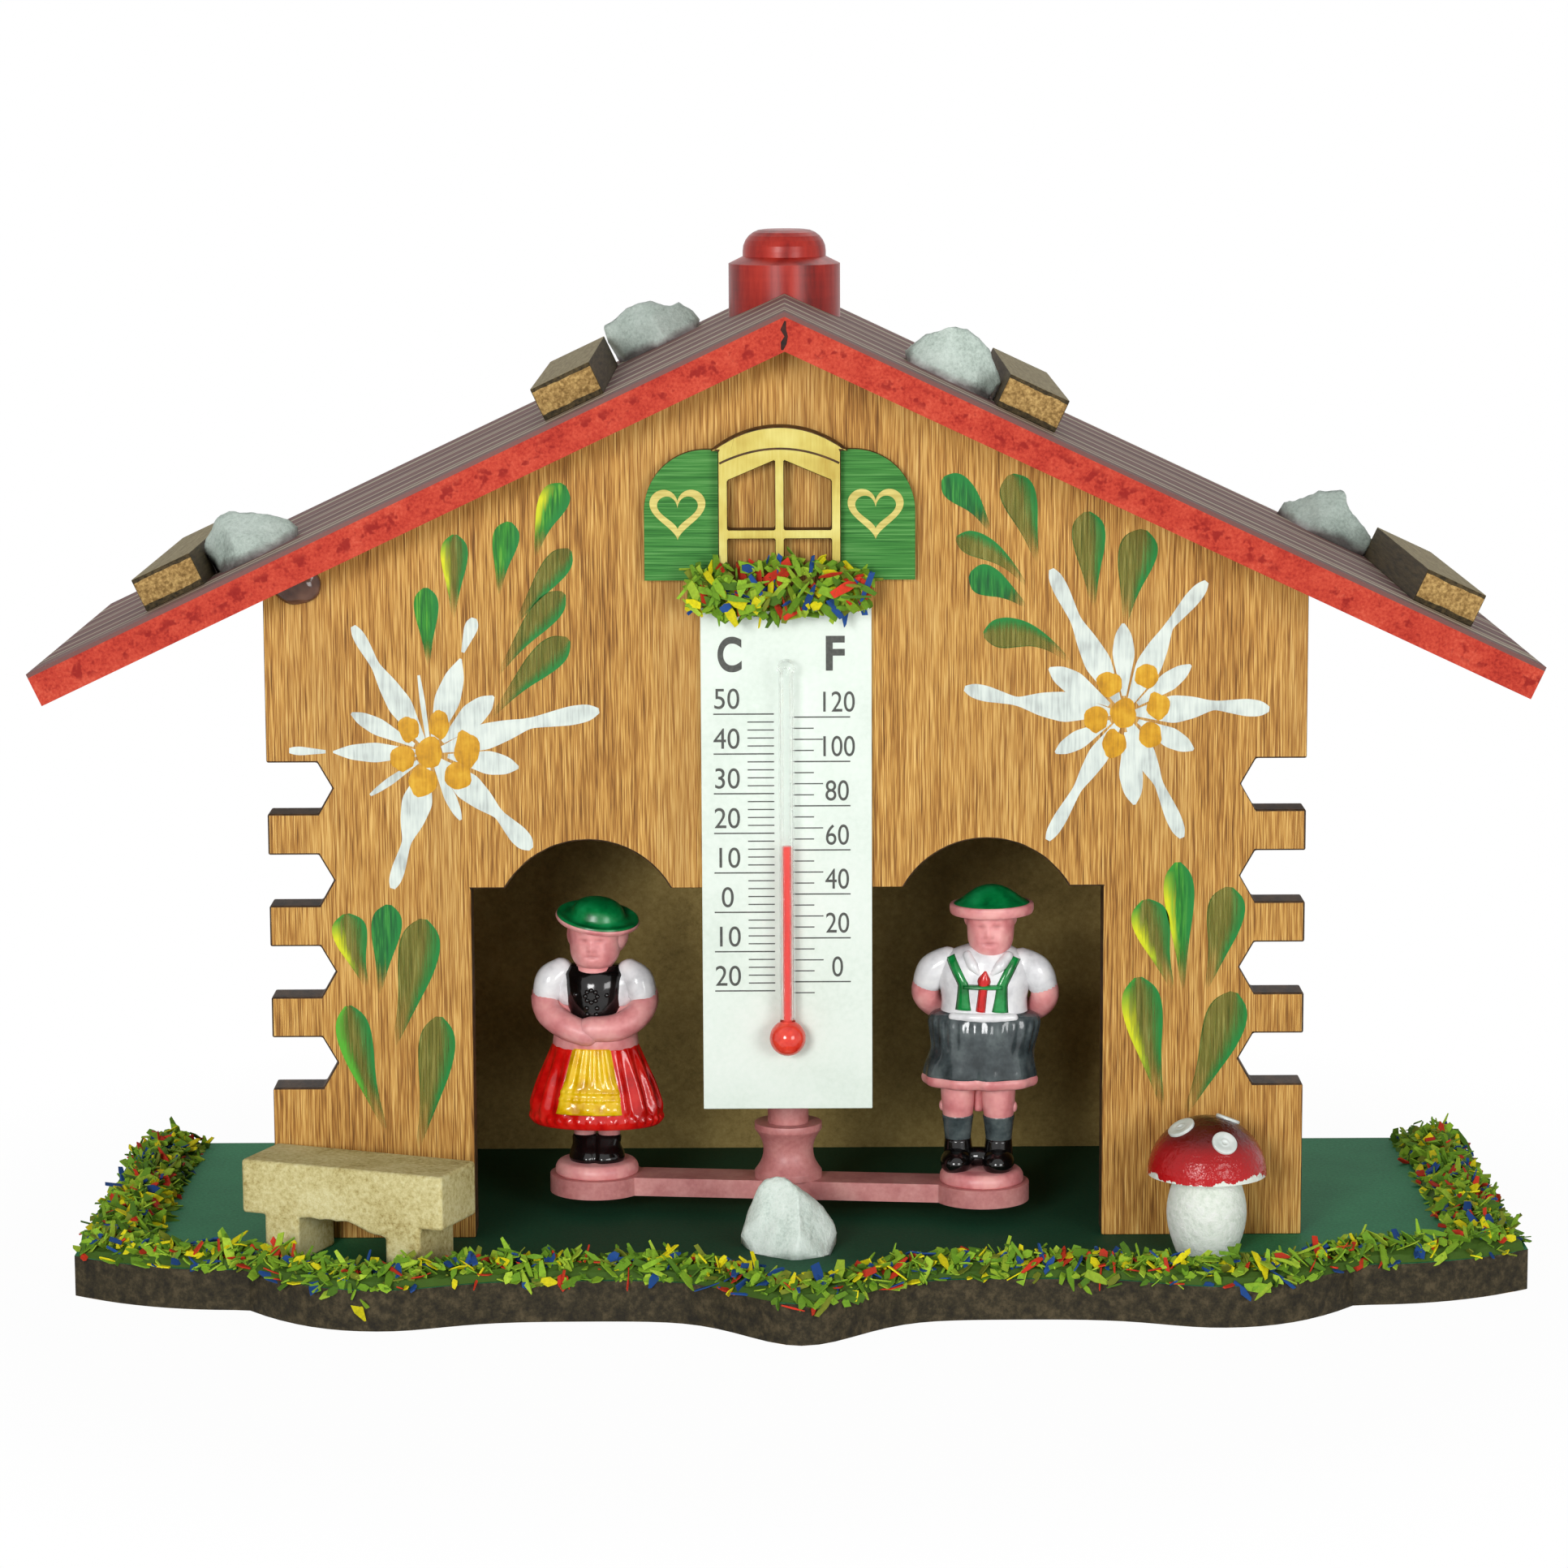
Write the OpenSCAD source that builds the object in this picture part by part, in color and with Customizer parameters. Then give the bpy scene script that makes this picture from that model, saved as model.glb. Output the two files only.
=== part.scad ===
// Weather house: a small chalet whose two figures swing with the humidity of the air.
// Millimetres. The front looks along -Y, +X is to the right, and the board stands on z = 0.

/* [Base board] */
// Width of the board from end to end
base_w = 176.2; // [170:0.1:180]
// Thickness of the board
base_t = 5; // [3:0.5:8]
// Depth of the board behind the house front
base_back = 51.4; // [50.5:0.1:60]
// Sideways offset of the board under the house
base_x = 1.5; // [0:0.1:2]
// Reach of the middle lobe in front of the house
lobe_reach = 31.8; // [29:0.1:36]
// Half width of the middle lobe
lobe_w = 9.3; // [7:0.1:12]
// Reach of the hollows beside the middle lobe
hollow_reach = 20.8; // [20:0.1:23]
// Reach of the two side lobes
side_lobe_reach = 24.8; // [24.4:0.1:28]
// Distance of the side lobes in from the ends of the house
side_lobe_in = 13.4; // [12:0.1:15]
// Half width of the inner flank of a side lobe
side_lobe_w = 9.5; // [7:0.1:12]
// Reach at the steps where the plain ends begin
step_reach = 14.9; // [13:0.1:17]
// Distance of the steps out from the ends of the house
step_out = 3.4; // [0:0.1:7]
// Reach at the two front corners
corner_reach = 7.8; // [5:0.1:10]
// Width of the turf along the front edge
turf_w = 4.6; // [3:0.1:5]
// Width of the turf along the two ends
turf_end_w = 8; // [4:0.1:10]
// Height of the turf
turf_h = 3.6; // [2:0.1:6]

/* [Walls] */
// Width of the front wall over the log ends
house_w = 125.8; // [120:0.1:132]
// Thickness of the front wall
wall_t = 5; // [3:0.5:6]
// Clear depth between the front wall and the back wall
inner_depth = 42.3; // [38:0.1:42.4]
// Thickness of the back wall
back_t = 3; // [2:0.5:3]
// Height of the roof's underside at the ridge, over the window's cornice
ridge_over = 9.2; // [5:0.1:16]
// Distance of the side walls in from the ends of the front wall
side_in = 10.9; // [9:0.1:14]
// Thickness of a side wall
side_t = 4; // [2:0.5:5]
// Width of the doorway
door_w = 76.8; // [74:0.1:82]
// Height of the doorway's flat head over the board
door_h = 43.5; // [42:0.1:48]
// Distance of each arch from the middle
arch_x = 24.2; // [22:0.1:26]
// Radius of the arches
arch_r = 11.5; // [10:0.1:13]
// Rise of the arches over the flat head
arch_rise = 5.9; // [4:0.1:8]
// Number of notches on a side
log_count = 4; // [1:1:4]
// Height of the lowest notch over the board
log_first = 18.9; // [10:0.1:22]
// Distance from one notch to the next
log_pitch = 11.3; // [9:0.1:12]
// Height of a notch
notch_h = 6.3; // [4:0.1:8]
// Depth of a notch's straight part
notch_in = 6.1; // [4:0.1:7]
// Depth of a notch at its point
notch_tip = 7.9; // [7.2:0.1:9]

/* [Roof] */
// Pitch of the roof, in degrees
pitch = 25.2; // [20:0.1:30]
// Half width of the roof at its top edge
roof_half_w = 90; // [88:0.5:100]
// Depth of the roof from front to back
roof_depth = 72; // [68:0.5:80]
// Overhang in front of the house
roof_over = 9; // [5:0.5:12]
// Thickness of a roof board
roof_t = 3.7; // [3:0.1:6]
// Thickness of the striped covering
cover_t = 0.5; // [0.3:0.1:1]
// Width of a slat
slat_w = 7.8; // [5:0.1:10]
// Thickness of a slat
slat_t = 4.2; // [3:0.1:6]
// Length of a slat
slat_len = 50; // [30:0.5:54]
// Set-back of the slats from the roof's front edge
slat_setback = 11; // [4:0.5:12]
// Distance of the upper left slat from the ridge, down the slope
slat_upper_left_u = 27.9; // [26:0.1:36]
// Distance of the lower left slat from the ridge, down the slope
slat_lower_left_u = 81.4; // [70:0.1:88]
// Distance of the upper right slat from the ridge, down the slope
slat_upper_right_u = 31.9; // [26:0.1:36]
// Distance of the lower right slat from the ridge, down the slope
slat_lower_right_u = 87.6; // [70:0.1:90]
// Length of a roof stone, down the slope
stone_l = 12; // [8:0.1:14]
// Width of a roof stone, along the ridge
stone_w = 11; // [8:0.1:13]
// Height of a roof stone
stone_h = 6.6; // [5:0.1:10]
// Set-back of the two front stones from the roof's front edge
stone_front = 20; // [12:0.5:26]
// Distance of the two rear stones from the roof's rear edge
stone_rear = 8.5; // [7:0.5:22]
// Diameter of the chimney
chimney_d = 14.2; // [10:0.1:16]
// Height of the chimney's shoulder over the ridge
chimney_h = 4.4; // [2:0.1:12]
// Diameter of the chimney's cap
cap_d = 10.6; // [8:0.1:12]
// Height of the chimney's cap
cap_h = 3.4; // [2:0.1:6]
// Set-back of the chimney from the roof's front edge
chimney_back = 48.5; // [40:0.5:52]

/* [Window] */
// Thickness of the window frame
frame_t = 3; // [2:0.1:4]
// Thickness of the shutters
trim_t = 1.5; // [1:0.1:3]
// Sideways place of the window
window_x = -0.7; // [-2:0.1:2]
// Height of the window's foot over the card's top
window_over = 1.6; // [1:0.1:4]
// Width of the window frame
frame_w = 14.6; // [12:0.1:18]
// Height of the frame up to the cornice
frame_h = 17.4; // [16.5:0.1:18]
// Width of the cornice
cornice_w = 16.4; // [15:0.1:20]
// Rise of the cornice
cornice_rise = 3; // [2:0.1:3.4]
// Width of the bars and the frame's edges
bar_w = 1.1; // [0.8:0.1:1.6]
// Height of the cross bar over the frame's foot
cross_z = 8; // [6:0.1:9]
// Drop of the upper panes' heads from the middle to the sides
pane_drop = 2.4; // [1:0.1:4]
// Width of a shutter
shutter_w = 8.9; // [7:0.1:10]
// Height of a shutter
shutter_h = 15.7; // [12:0.1:16]
// Height of a shutter's foot over the frame's foot
shutter_z = 1.8; // [0:0.1:1.9]
// Radius of a shutter's outer top corner
shutter_r = 7.4; // [3:0.1:8]
// Width of the flower tuft
tuft_w = 24; // [18:0.1:26]
// Height of the flower tuft
tuft_h = 8.4; // [6:0.1:10]
// Depth of the flower tuft
tuft_d = 4; // [3:0.1:5]
// Height of the tuft's middle over the frame's foot
tuft_z = 1; // [0:0.1:2]

/* [Thermometer] */
// Width of the scale card
card_w = 20.6; // [18:0.1:24]
// Thickness of the scale card
card_t = 0.8; // [0.5:0.1:1.4]
// Height of the card's foot over the board
card_z = 16.2; // [15:0.1:20]
// Height of the card
card_h = 61.6; // [58:0.1:62]
// Diameter of the glass stem
stem_d = 1.9; // [1.6:0.1:2.6]
// Diameter of the glass bulb
bulb_d = 4.4; // [3.6:0.1:5]
// Diameter of the glass knob on top
knob_d = 2.4; // [1.8:0.1:3]
// Height of the bulb's centre over the card's foot
bulb_z = 9.3; // [6:0.1:12]
// Distance from the bulb's centre to the knob
stem_len = 45.2; // [40:0.1:48]
// Diameter of the stem's bore
stem_bore = 1.1; // [0.6:0.1:1.2]
// Thickness of the bulb's glass
bulb_wall = 0.4; // [0.2:0.1:0.6]
// Height of the spirit over the bulb's centre
spirit_h = 23.6; // [5:0.1:35]

/* [Figure carrier] */
// Distance of the turning axis behind the house front
pivot_back = 12; // [10:0.1:14]
// Turn of the carrier as it stands, man to the front, in degrees
shown_turn = 6.5; // [0:0.5:10]
// Distance of a figure from the turning axis
arm = 24.2; // [23:0.1:26]
// Height of the carrier's underside over the board
carrier_z = 2.4; // [1.5:0.1:4]
// Thickness of the bar and the discs
bar_t = 2.3; // [1.5:0.1:3]
// Depth of the bar
bar_d = 5.8; // [4:0.1:7]
// Diameter of the discs
disc_d = 11.8; // [10:0.1:13]
// Diameter of the hub's flanges
flange_d = 8.4; // [7:0.1:10]
// Diameter of the hub's waist
waist_d = 6.2; // [5.6:0.1:7]
// Height of the hub
hub_h = 7; // [5:0.1:9]
// Diameter of the column
column_d = 5.1; // [4.6:0.1:5.5]
// Height of the column over the hub
column_h = 34; // [20:0.5:40]
// Bore of the column
column_bore = 3.2; // [2.4:0.1:3.6]
// Height of a figure from the top of its stand to the top of its hat
figure_h = 35.5; // [32:0.1:36]
// Diameter of a figure's stand
stand_d = 10.4; // [9:0.1:11.5]
// Thickness of a figure's stand
stand_t = 1.7; // [1:0.1:2.5]
// Diameter of the peg under a stand
peg_d = 3; // [2:0.1:4]
// Length of the peg below the disc
peg_out = 0.6; // [0.2:0.1:1]

/* [Gut strand] */
// Diameter of the gut strand
gut_d = 1; // [0.6:0.1:1.4]
// Length of the anchor in the hub
anchor_len = 5; // [3:0.1:6]
// Diameter of the adjuster plug's shank
plug_d = 6; // [4:0.1:8]
// Length of the shank
plug_len = 9; // [6:0.1:11]
// Diameter of the adjuster plug's head
head_d = 9; // [8.4:0.1:12]
// Height of the head
head_h = 4; // [3:0.1:6]
// Depth of the strand's hole in the plug
gut_hole = 6; // [3:0.1:8]
// Width of the hanger block
block_w = 30; // [20:0.5:40]
// Depth of the hanger block
block_d = 15; // [13:0.5:18]
// Height of the hanger block under the ridge
block_h = 18; // [16:0.5:22]

/* [Garden] */
// Length of the bench
bench_l = 26.8; // [22:0.1:27]
// Depth of the bench
bench_d = 9.4; // [7:0.1:9.5]
// Thickness of the bench's seat
seat_t = 6.6; // [3:0.1:8]
// Height of the bench's legs
leg_h = 5.6; // [3:0.1:8]
// Width of a leg
leg_w = 4.6; // [3:0.1:6]
// Inset of a leg from the bench's end
leg_in = 3; // [2:0.1:4]
// Turn of the bench, right end to the front, in degrees
bench_turn = 22; // [10:1:22]
// Distance of the bench's middle in from the left end of the house
bench_in = 11.1; // [9:0.1:13]
// Diameter of the mushroom's stalk
stalk_d = 9.7; // [7:0.1:11]
// Diameter of the stalk's ends
stalk_end_d = 7.4; // [5:0.1:8]
// Height of the stalk
stalk_h = 9.6; // [6:0.1:12]
// Diameter of the mushroom's cap
mushroom_d = 14.4; // [12:0.1:14.8]
// Height of the mushroom's cap
mushroom_h = 7; // [4:0.1:9]
// Distance of the mushroom in from the right end of the house
mushroom_in = 12.3; // [7:0.1:15]
// Distance of the mushroom in front of the house
mushroom_y = 7.6; // [7.5:0.1:8]
// Width of the front stone
front_stone_l = 11.6; // [8:0.1:13]
// Depth of the front stone
front_stone_w = 9.6; // [7:0.1:10]
// Height of the front stone
front_stone_h = 9; // [6:0.1:10]
// Distance of the front stone in front of the house
front_stone_y = 6.8; // [6:0.1:8]

/* [Fits] */
// Clearance round a turning shaft
run_fit = 0.05; // [0.02:0.01:0.1]
// Clearance between pieces that are glued together
glue_fit = 0.03; // [0.01:0.01:0.1]
// Gap between pieces that pass each other
pass_gap = 0.4; // [0.3:0.1:1]

/* [Hidden] */
$fn = 48;
LEFT = -1;
RIGHT = 1;
// Overshoot of a cutting shape past the face that it cuts
cut = 1;
// Steps along the board's front edge, from the middle to a corner, and across the turf of an end
edge_steps = 44;
turf_end_steps = 4;
// Exponents of the outer flank of a side lobe and of the plain end
lobe_curve = 2.2;
end_curve = 2.3;
// The overall depth runs from the middle lobe to the roof's rear edge, and is centred on y = 0
front_y = (lobe_reach - (roof_depth - roof_over)) / 2;
roof_y = front_y - roof_over;
room_y = front_y + wall_t;
card_foot = base_t + card_z;
window_foot = card_foot + card_h + window_over;
ridge_z = window_foot + frame_h + cornice_rise + ridge_over;
// Height of the covering's top at the ridge
top_z = ridge_z + (roof_t + cover_t) / cos(pitch);
pivot_y = front_y + pivot_back;
bar_z = base_t + carrier_z;
stand_z = bar_z + bar_t;
tube_y = front_y - card_t - bulb_d / 2 - glue_fit;
// Front of the window, which carries the tuft
window_y = front_y - max(frame_t, trim_t);
bulb_centre = card_foot + bulb_z;
block_foot = ridge_z - block_h;
head_top = block_foot - pass_gap;
head_foot = head_top - head_h;
board_end = base_w / 2;
side_w = house_w - 2 * side_in;
side_lobe_x = house_w / 2 - side_lobe_in;
step_x = house_w / 2 + step_out;
bench_x = house_w / 2 - bench_in;
mushroom_x = house_w / 2 - mushroom_in;
// Height at which the figures' measures are given
figure_drawn_h = 35.5;
turf_edge = 0.6;
turf_foot_h = turf_h * 0.6;
turf_crown_in = turf_w * 0.15;

function bell(d, w) = exp(-pow(d / w, 2));
// Reach of the board's front edge in front of the house, at a distance from its middle
function end_reach(x) =
    step_reach - (step_reach - corner_reach) * pow((x - step_x) / (board_end - step_x), end_curve);
function flank_reach(x) =
    side_lobe_reach
    - (side_lobe_reach - step_reach) * pow((x - side_lobe_x) / (step_x - side_lobe_x), lobe_curve);
function middle_reach(x) =
    hollow_reach
    + (lobe_reach - hollow_reach) * bell(x, lobe_w)
    + (side_lobe_reach - hollow_reach) * bell(x - side_lobe_x, side_lobe_w);
function reach(x) = x > step_x ? end_reach(x) : x > side_lobe_x ? flank_reach(x) : middle_reach(x);
// Points behind the board's front edge, from one place across the board to another
function edge_part(from, to, steps, inset) = [
    for (i = [0 : steps])
        let (x = from + (to - from) * i / steps) [base_x + x, front_y - reach(abs(x)) + inset]
];
function front_edge(limit, inset) = edge_part(-limit, limit, 2 * edge_steps, inset);
function reversed(list) = [for (i = [len(list) - 1 : -1 : 0]) list[i]];
// Height of a layer of the roof, given by its distance from the underside, at a place across the house
function roof_z(x, layer) = ridge_z + layer / cos(pitch) - abs(x) * tan(pitch);
// Half width of a layer of the roof at its square-cut eave
function eave_x(layer) = roof_half_w - (roof_t - layer) * sin(pitch);

// Draws an outline of X and Z, extruded from y0 towards the back
module along_y(y0, depth) {
    translate([0, y0 + depth, 0])
        rotate([90, 0, 0])
            linear_extrude(depth)
                children();
}

// Places children on the covering, at a distance from the ridge down the slope, with Z square to the roof
module on_slope(side, u, y) {
    translate([side * u * cos(pitch), y, top_z - u * sin(pitch)])
        rotate([0, side * pitch, 0])
            children();
}

// Turns children with the figure carrier
module on_carrier() {
    translate([0, pivot_y, 0])
        rotate([0, 0, -shown_turn])
            children();
}

// Round bar with round ends between two points
module limb(from, to, r) {
    hull() {
        translate(from)
            sphere(r, $fn = 16);
        translate(to)
            sphere(r, $fn = 16);
    }
}

// Rounded lump on a flat foot, with its crown a little off the middle
module pebble(l, w, h) {
    rim_r = h * 0.34;
    crown_r = h * 0.4;
    crown_in = 0.62;
    crown_x = -l * 0.04;
    intersection() {
        hull() {
            for (angle = [20 : 60 : 320])
                translate([(l / 2 - rim_r) * cos(angle), (w / 2 - rim_r) * sin(angle), rim_r])
                    sphere(rim_r, $fn = 16);
            for (angle = [45 : 90 : 315])
                translate([
                    crown_x + (l / 2 - crown_r) * crown_in * cos(angle),
                    (w / 2 - crown_r) * crown_in * sin(angle),
                    h - crown_r
                ])
                    sphere(crown_r, $fn = 16);
        }
        translate([-l, -w, 0])
            cube([2 * l, 2 * w, 2 * h]);
    }
}

// Solid of revolution that is narrower from front to back than from side to side
module oval_turned(flatness) {
    scale([1, flatness, 1])
        rotate_extrude($fn = 32)
            children();
}

module base_board() {
    color("darkslategray")
        linear_extrude(base_t)
            polygon(concat(
                front_edge(board_end, 0),
                [[base_x + board_end, front_y + base_back], [base_x - board_end, front_y + base_back]]
            ));
}

// Band of turf that follows the board's front edge
module turf_band(limit, inset, width, height) {
    linear_extrude(height)
        polygon(concat(front_edge(limit, inset), reversed(front_edge(limit, inset + width))));
}

module turf_front() {
    limit = board_end - turf_edge;
    color("olivedrab")
        translate([0, 0, base_t]) {
            turf_band(limit, turf_edge, turf_w, turf_foot_h);
            turf_band(limit - turf_crown_in, turf_edge + turf_crown_in, turf_w - 2 * turf_crown_in, turf_h);
        }
}

// Layer of the turf along one end of the board, behind the front band
module turf_end_layer(side, inset, height) {
    outer = side * (board_end - turf_edge - inset);
    inner = side * (board_end - turf_edge - turf_end_w + inset);
    rear = front_y + base_back - turf_edge - inset;
    linear_extrude(height)
        polygon(concat(
            edge_part(inner, outer, turf_end_steps, turf_edge + turf_w + glue_fit + inset),
            [[base_x + outer, rear], [base_x + inner, rear]]
        ));
}

module turf_end(side) {
    color("olivedrab")
        translate([0, 0, base_t]) {
            turf_end_layer(side, 0, turf_foot_h);
            turf_end_layer(side, turf_crown_in, turf_h);
        }
}

module notch() {
    polygon([
        [house_w / 2 + cut, 0], [house_w / 2 - notch_in, 0], [house_w / 2 - notch_tip, notch_h / 2],
        [house_w / 2 - notch_in, notch_h], [house_w / 2 + cut, notch_h]
    ]);
}

// Gable of a given width, from the board to the underside of the roof
module gable(width) {
    polygon([
        [-width / 2, base_t], [width / 2, base_t], [width / 2, roof_z(width / 2, 0)],
        [0, ridge_z], [-width / 2, roof_z(width / 2, 0)]
    ]);
}

module front_wall() {
    color("peru")
        along_y(front_y, wall_t)
            difference() {
                gable(house_w);
                translate([-door_w / 2, base_t - cut])
                    square([door_w, door_h + cut]);
                for (side = [LEFT, RIGHT])
                    translate([side * arch_x, base_t + door_h + arch_rise - arch_r])
                        circle(arch_r);
                for (i = [0 : log_count - 1])
                    translate([0, base_t + log_first + i * log_pitch]) {
                        notch();
                        mirror([1, 0])
                            notch();
                    }
            }
}

module back_wall() {
    color("saddlebrown")
        along_y(room_y + inner_depth, back_t)
            gable(side_w);
}

module side_wall(side) {
    outer = side_w / 2;
    inner = outer - side_t;
    color("sienna")
        along_y(room_y, inner_depth)
            polygon([
                [side * inner, base_t], [side * outer, base_t],
                [side * outer, roof_z(outer, 0)], [side * inner, roof_z(inner, 0)]
            ]);
}

// One slope of a layer of the roof, between two distances from the underside
module roof_layer(side, low, high) {
    along_y(roof_y, roof_depth)
        polygon([
            [0, roof_z(0, low)], [side * eave_x(low), roof_z(eave_x(low), low)],
            [side * eave_x(high), roof_z(eave_x(high), high)], [0, roof_z(0, high)]
        ]);
}

module roof_board(side) {
    color("tomato")
        roof_layer(side, 0, roof_t);
}

module roof_cover(side) {
    color("dimgray")
        roof_layer(side, roof_t, roof_t + cover_t);
}

module chimney() {
    r = chimney_d / 2;
    cap_r = cap_d / 2;
    shoulder_drop = 0.9;
    cap_round = min(cap_h, cap_r) * 0.8;
    cap_profile = [
        for (angle = [0 : 15 : 90])
            [cap_r - cap_round + cap_round * cos(angle), chimney_h + cap_h - cap_round + cap_round * sin(angle)]
    ];
    color("firebrick")
        difference() {
            translate([0, roof_y + chimney_back, top_z])
                rotate_extrude()
                    polygon(concat(
                        [[0, -chimney_d], [r, -chimney_d], [r, chimney_h - shoulder_drop], [cap_r, chimney_h]],
                        cap_profile,
                        [[0, chimney_h + cap_h]]
                    ));
            // Seat over the ridge
            along_y(roof_y, roof_depth)
                polygon([
                    [0, top_z], [2 * r, top_z - 2 * r * tan(pitch)], [2 * r, top_z - 3 * chimney_d],
                    [-2 * r, top_z - 3 * chimney_d], [-2 * r, top_z - 2 * r * tan(pitch)]
                ]);
        }
}

module slat(side, u) {
    color("darkkhaki")
        on_slope(side, u, roof_y + slat_setback)
            translate([-slat_w / 2, 0, 0])
                cube([slat_w, slat_len, slat_t]);
}

// Roof stone that lies against the uphill side of a slat
module roof_stone(side, slat_u, setback) {
    color("lightgray")
        on_slope(side, slat_u - slat_w / 2 - stone_l / 2 - glue_fit, roof_y + setback)
            pebble(stone_l, stone_w, stone_h);
}

module hanger_block() {
    half = block_w / 2;
    color("burlywood")
        difference() {
            along_y(room_y, block_d)
                polygon([
                    [-half, block_foot], [half, block_foot], [half, roof_z(half, 0)],
                    [0, ridge_z], [-half, roof_z(half, 0)]
                ]);
            translate([0, pivot_y, block_foot - cut])
                cylinder(d = plug_d + 2 * run_fit, h = plug_len + 2 * pass_gap + cut);
        }
}

module adjuster_plug() {
    color("wheat")
        translate([0, pivot_y, 0])
            difference() {
                union() {
                    translate([0, 0, head_foot])
                        cylinder(d = head_d, h = head_h);
                    translate([0, 0, head_top - cut])
                        cylinder(d = plug_d, h = plug_len + pass_gap + cut);
                }
                translate([0, 0, head_foot - cut])
                    cylinder(d = gut_d + 2 * run_fit, h = gut_hole + pass_gap + cut);
            }
}

module gut_strand() {
    foot = bar_z + pass_gap;
    color("tan")
        translate([0, pivot_y, foot])
            cylinder(d = gut_d, h = head_foot + gut_hole - foot);
}

module gut_anchor() {
    color("ivory")
        translate([0, pivot_y, bar_z])
            difference() {
                cylinder(d = column_bore - 2 * glue_fit, h = anchor_len);
                translate([0, 0, pass_gap - glue_fit])
                    cylinder(d = gut_d + 2 * glue_fit, h = anchor_len + cut);
            }
}

// Half outline of the spool-shaped hub
function spool_profile() = concat(
    [[0, 0], [flange_d / 2, 0]],
    [
        for (i = [0 : 10])
            let (t = i / 10)
                [(waist_d + (flange_d - waist_d) * pow(2 * t - 1, 2)) / 2, hub_h * (0.12 + 0.76 * t)]
    ],
    [[flange_d / 2, hub_h], [0, hub_h]]
);

module figure_carrier() {
    color("lightpink")
        on_carrier()
            difference() {
                union() {
                    translate([-arm, -bar_d / 2, bar_z])
                        cube([2 * arm, bar_d, bar_t]);
                    for (side = [LEFT, RIGHT])
                        translate([side * arm, 0, bar_z])
                            cylinder(d = disc_d, h = bar_t);
                    translate([0, 0, stand_z])
                        rotate_extrude()
                            polygon(spool_profile());
                    translate([0, 0, stand_z + hub_h - cut])
                        cylinder(d = column_d, h = column_h + cut);
                }
                translate([0, 0, bar_z - cut])
                    cylinder(d = column_bore, h = bar_t + hub_h + column_h + 2 * cut);
                for (side = [LEFT, RIGHT])
                    translate([side * arm, 0, bar_z - cut])
                        cylinder(d = peg_d + 2 * glue_fit, h = bar_t + 2 * cut);
            }
}

// Stand and peg under a figure, with children on top of the stand
module on_stand(side) {
    on_carrier()
        translate([side * arm, 0, stand_z]) {
            color("lightpink") {
                cylinder(d = stand_d, h = stand_t);
                translate([0, 0, -bar_t - peg_out])
                    cylinder(d = peg_d, h = bar_t + peg_out + stand_t / 2);
            }
            translate([0, 0, stand_t])
                scale(figure_h / figure_drawn_h)
                    children();
        }
}

// Shoe with its toe to the front
module shoe(x) {
    limb([x, 1, 1], [x * 1.25, -1.8, 0.7], 1.25);
}

module felt_hat(tilt) {
    rotate([0, tilt, 0])
        oval_turned(0.85)
            polygon([[0, 0], [5.2, 0], [5.2, 0.7], [4.2, 1.2], [3.4, 2.4], [2.2, 3.2], [0, 3.5]]);
}

module woman() {
    hem_z = 5.3;
    waist_z = 15.6;
    neck_z = 24.2;
    color("crimson")
        on_stand(LEFT) {
            intersection() {
                union() {
                    shoe(-1.7);
                    shoe(1.7);
                }
                translate([-stand_d, -stand_d, -stand_t / 2])
                    cube([2 * stand_d, 2 * stand_d, hem_z]);
            }
            for (x = [-1.7, 1.7])
                translate([x, 0.4, 0])
                    cylinder(r = 1.1, h = hem_z + cut, $fn = 24);
            translate([0, 0, hem_z])
                oval_turned(0.62)
                    polygon([[0, 0], [8.1, 0], [7.6, 1.8], [6.4, 5], [4.6, 8.4], [3.5, 10.3], [0, 10.3]]);
            translate([0, 0, waist_z - cut])
                oval_turned(0.75)
                    polygon([
                        [0, 0], [3.3, 0], [3.3, 2], [3.9, 5.4], [4.2, 7.4], [2.2, 9.2], [1.5, 9.8],
                        [1.5, neck_z + 2.9 - waist_z], [0, neck_z + 2.9 - waist_z]
                    ]);
            limb([-4, 0.2, 23], [-7, 0, 19.6], 1.5);
            limb([4, 0.2, 23], [7, 0, 19.6], 1.5);
            limb([-7, 0, 19.6], [1.6, -3.2, 16.4], 1.35);
            limb([7, 0, 19.6], [-1.6, -3.2, 16.8], 1.35);
            translate([0, -0.2, neck_z + 2.9])
                sphere(2.6);
            translate([0, 0, 29.2])
                felt_hat(8);
        }
}

module man() {
    hem_z = 11.4;
    waist_z = 20;
    color("dimgray")
        on_stand(RIGHT) {
            intersection() {
                union() {
                    shoe(-2.4);
                    shoe(2.4);
                }
                translate([-stand_d, -stand_d, -stand_t / 2])
                    cube([2 * stand_d, 2 * stand_d, hem_z]);
            }
            for (x = [-2.4, 2.4])
                translate([x, 0.2, 0])
                    cylinder(r1 = 1.4, r2 = 1.8, h = hem_z + cut, $fn = 24);
            translate([0, 0, hem_z])
                oval_turned(0.58)
                    polygon([[0, 0], [6.8, 0], [6.2, 3], [4.8, 8], [4.4, 8.8], [0, 8.8]]);
            translate([0, 0, waist_z - cut])
                oval_turned(0.62)
                    polygon([[0, 0], [4.5, 0], [5, 3], [6, 6], [5.6, 7.6], [2.2, 9], [1.6, 9.6], [0, 9.6]]);
            limb([-6, 0.2, 25.4], [-7.6, 1.2, 20.8], 1.5);
            limb([6, 0.2, 25.4], [7.6, 1.2, 20.8], 1.5);
            limb([-7.6, 1.2, 20.8], [-1.4, 3.4, 18.6], 1.4);
            limb([7.6, 1.2, 20.8], [1.4, 3.4, 18.6], 1.4);
            translate([0, -0.2, 30])
                sphere(2.6);
            translate([0, 0, 32])
                felt_hat(-4);
        }
}

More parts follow.
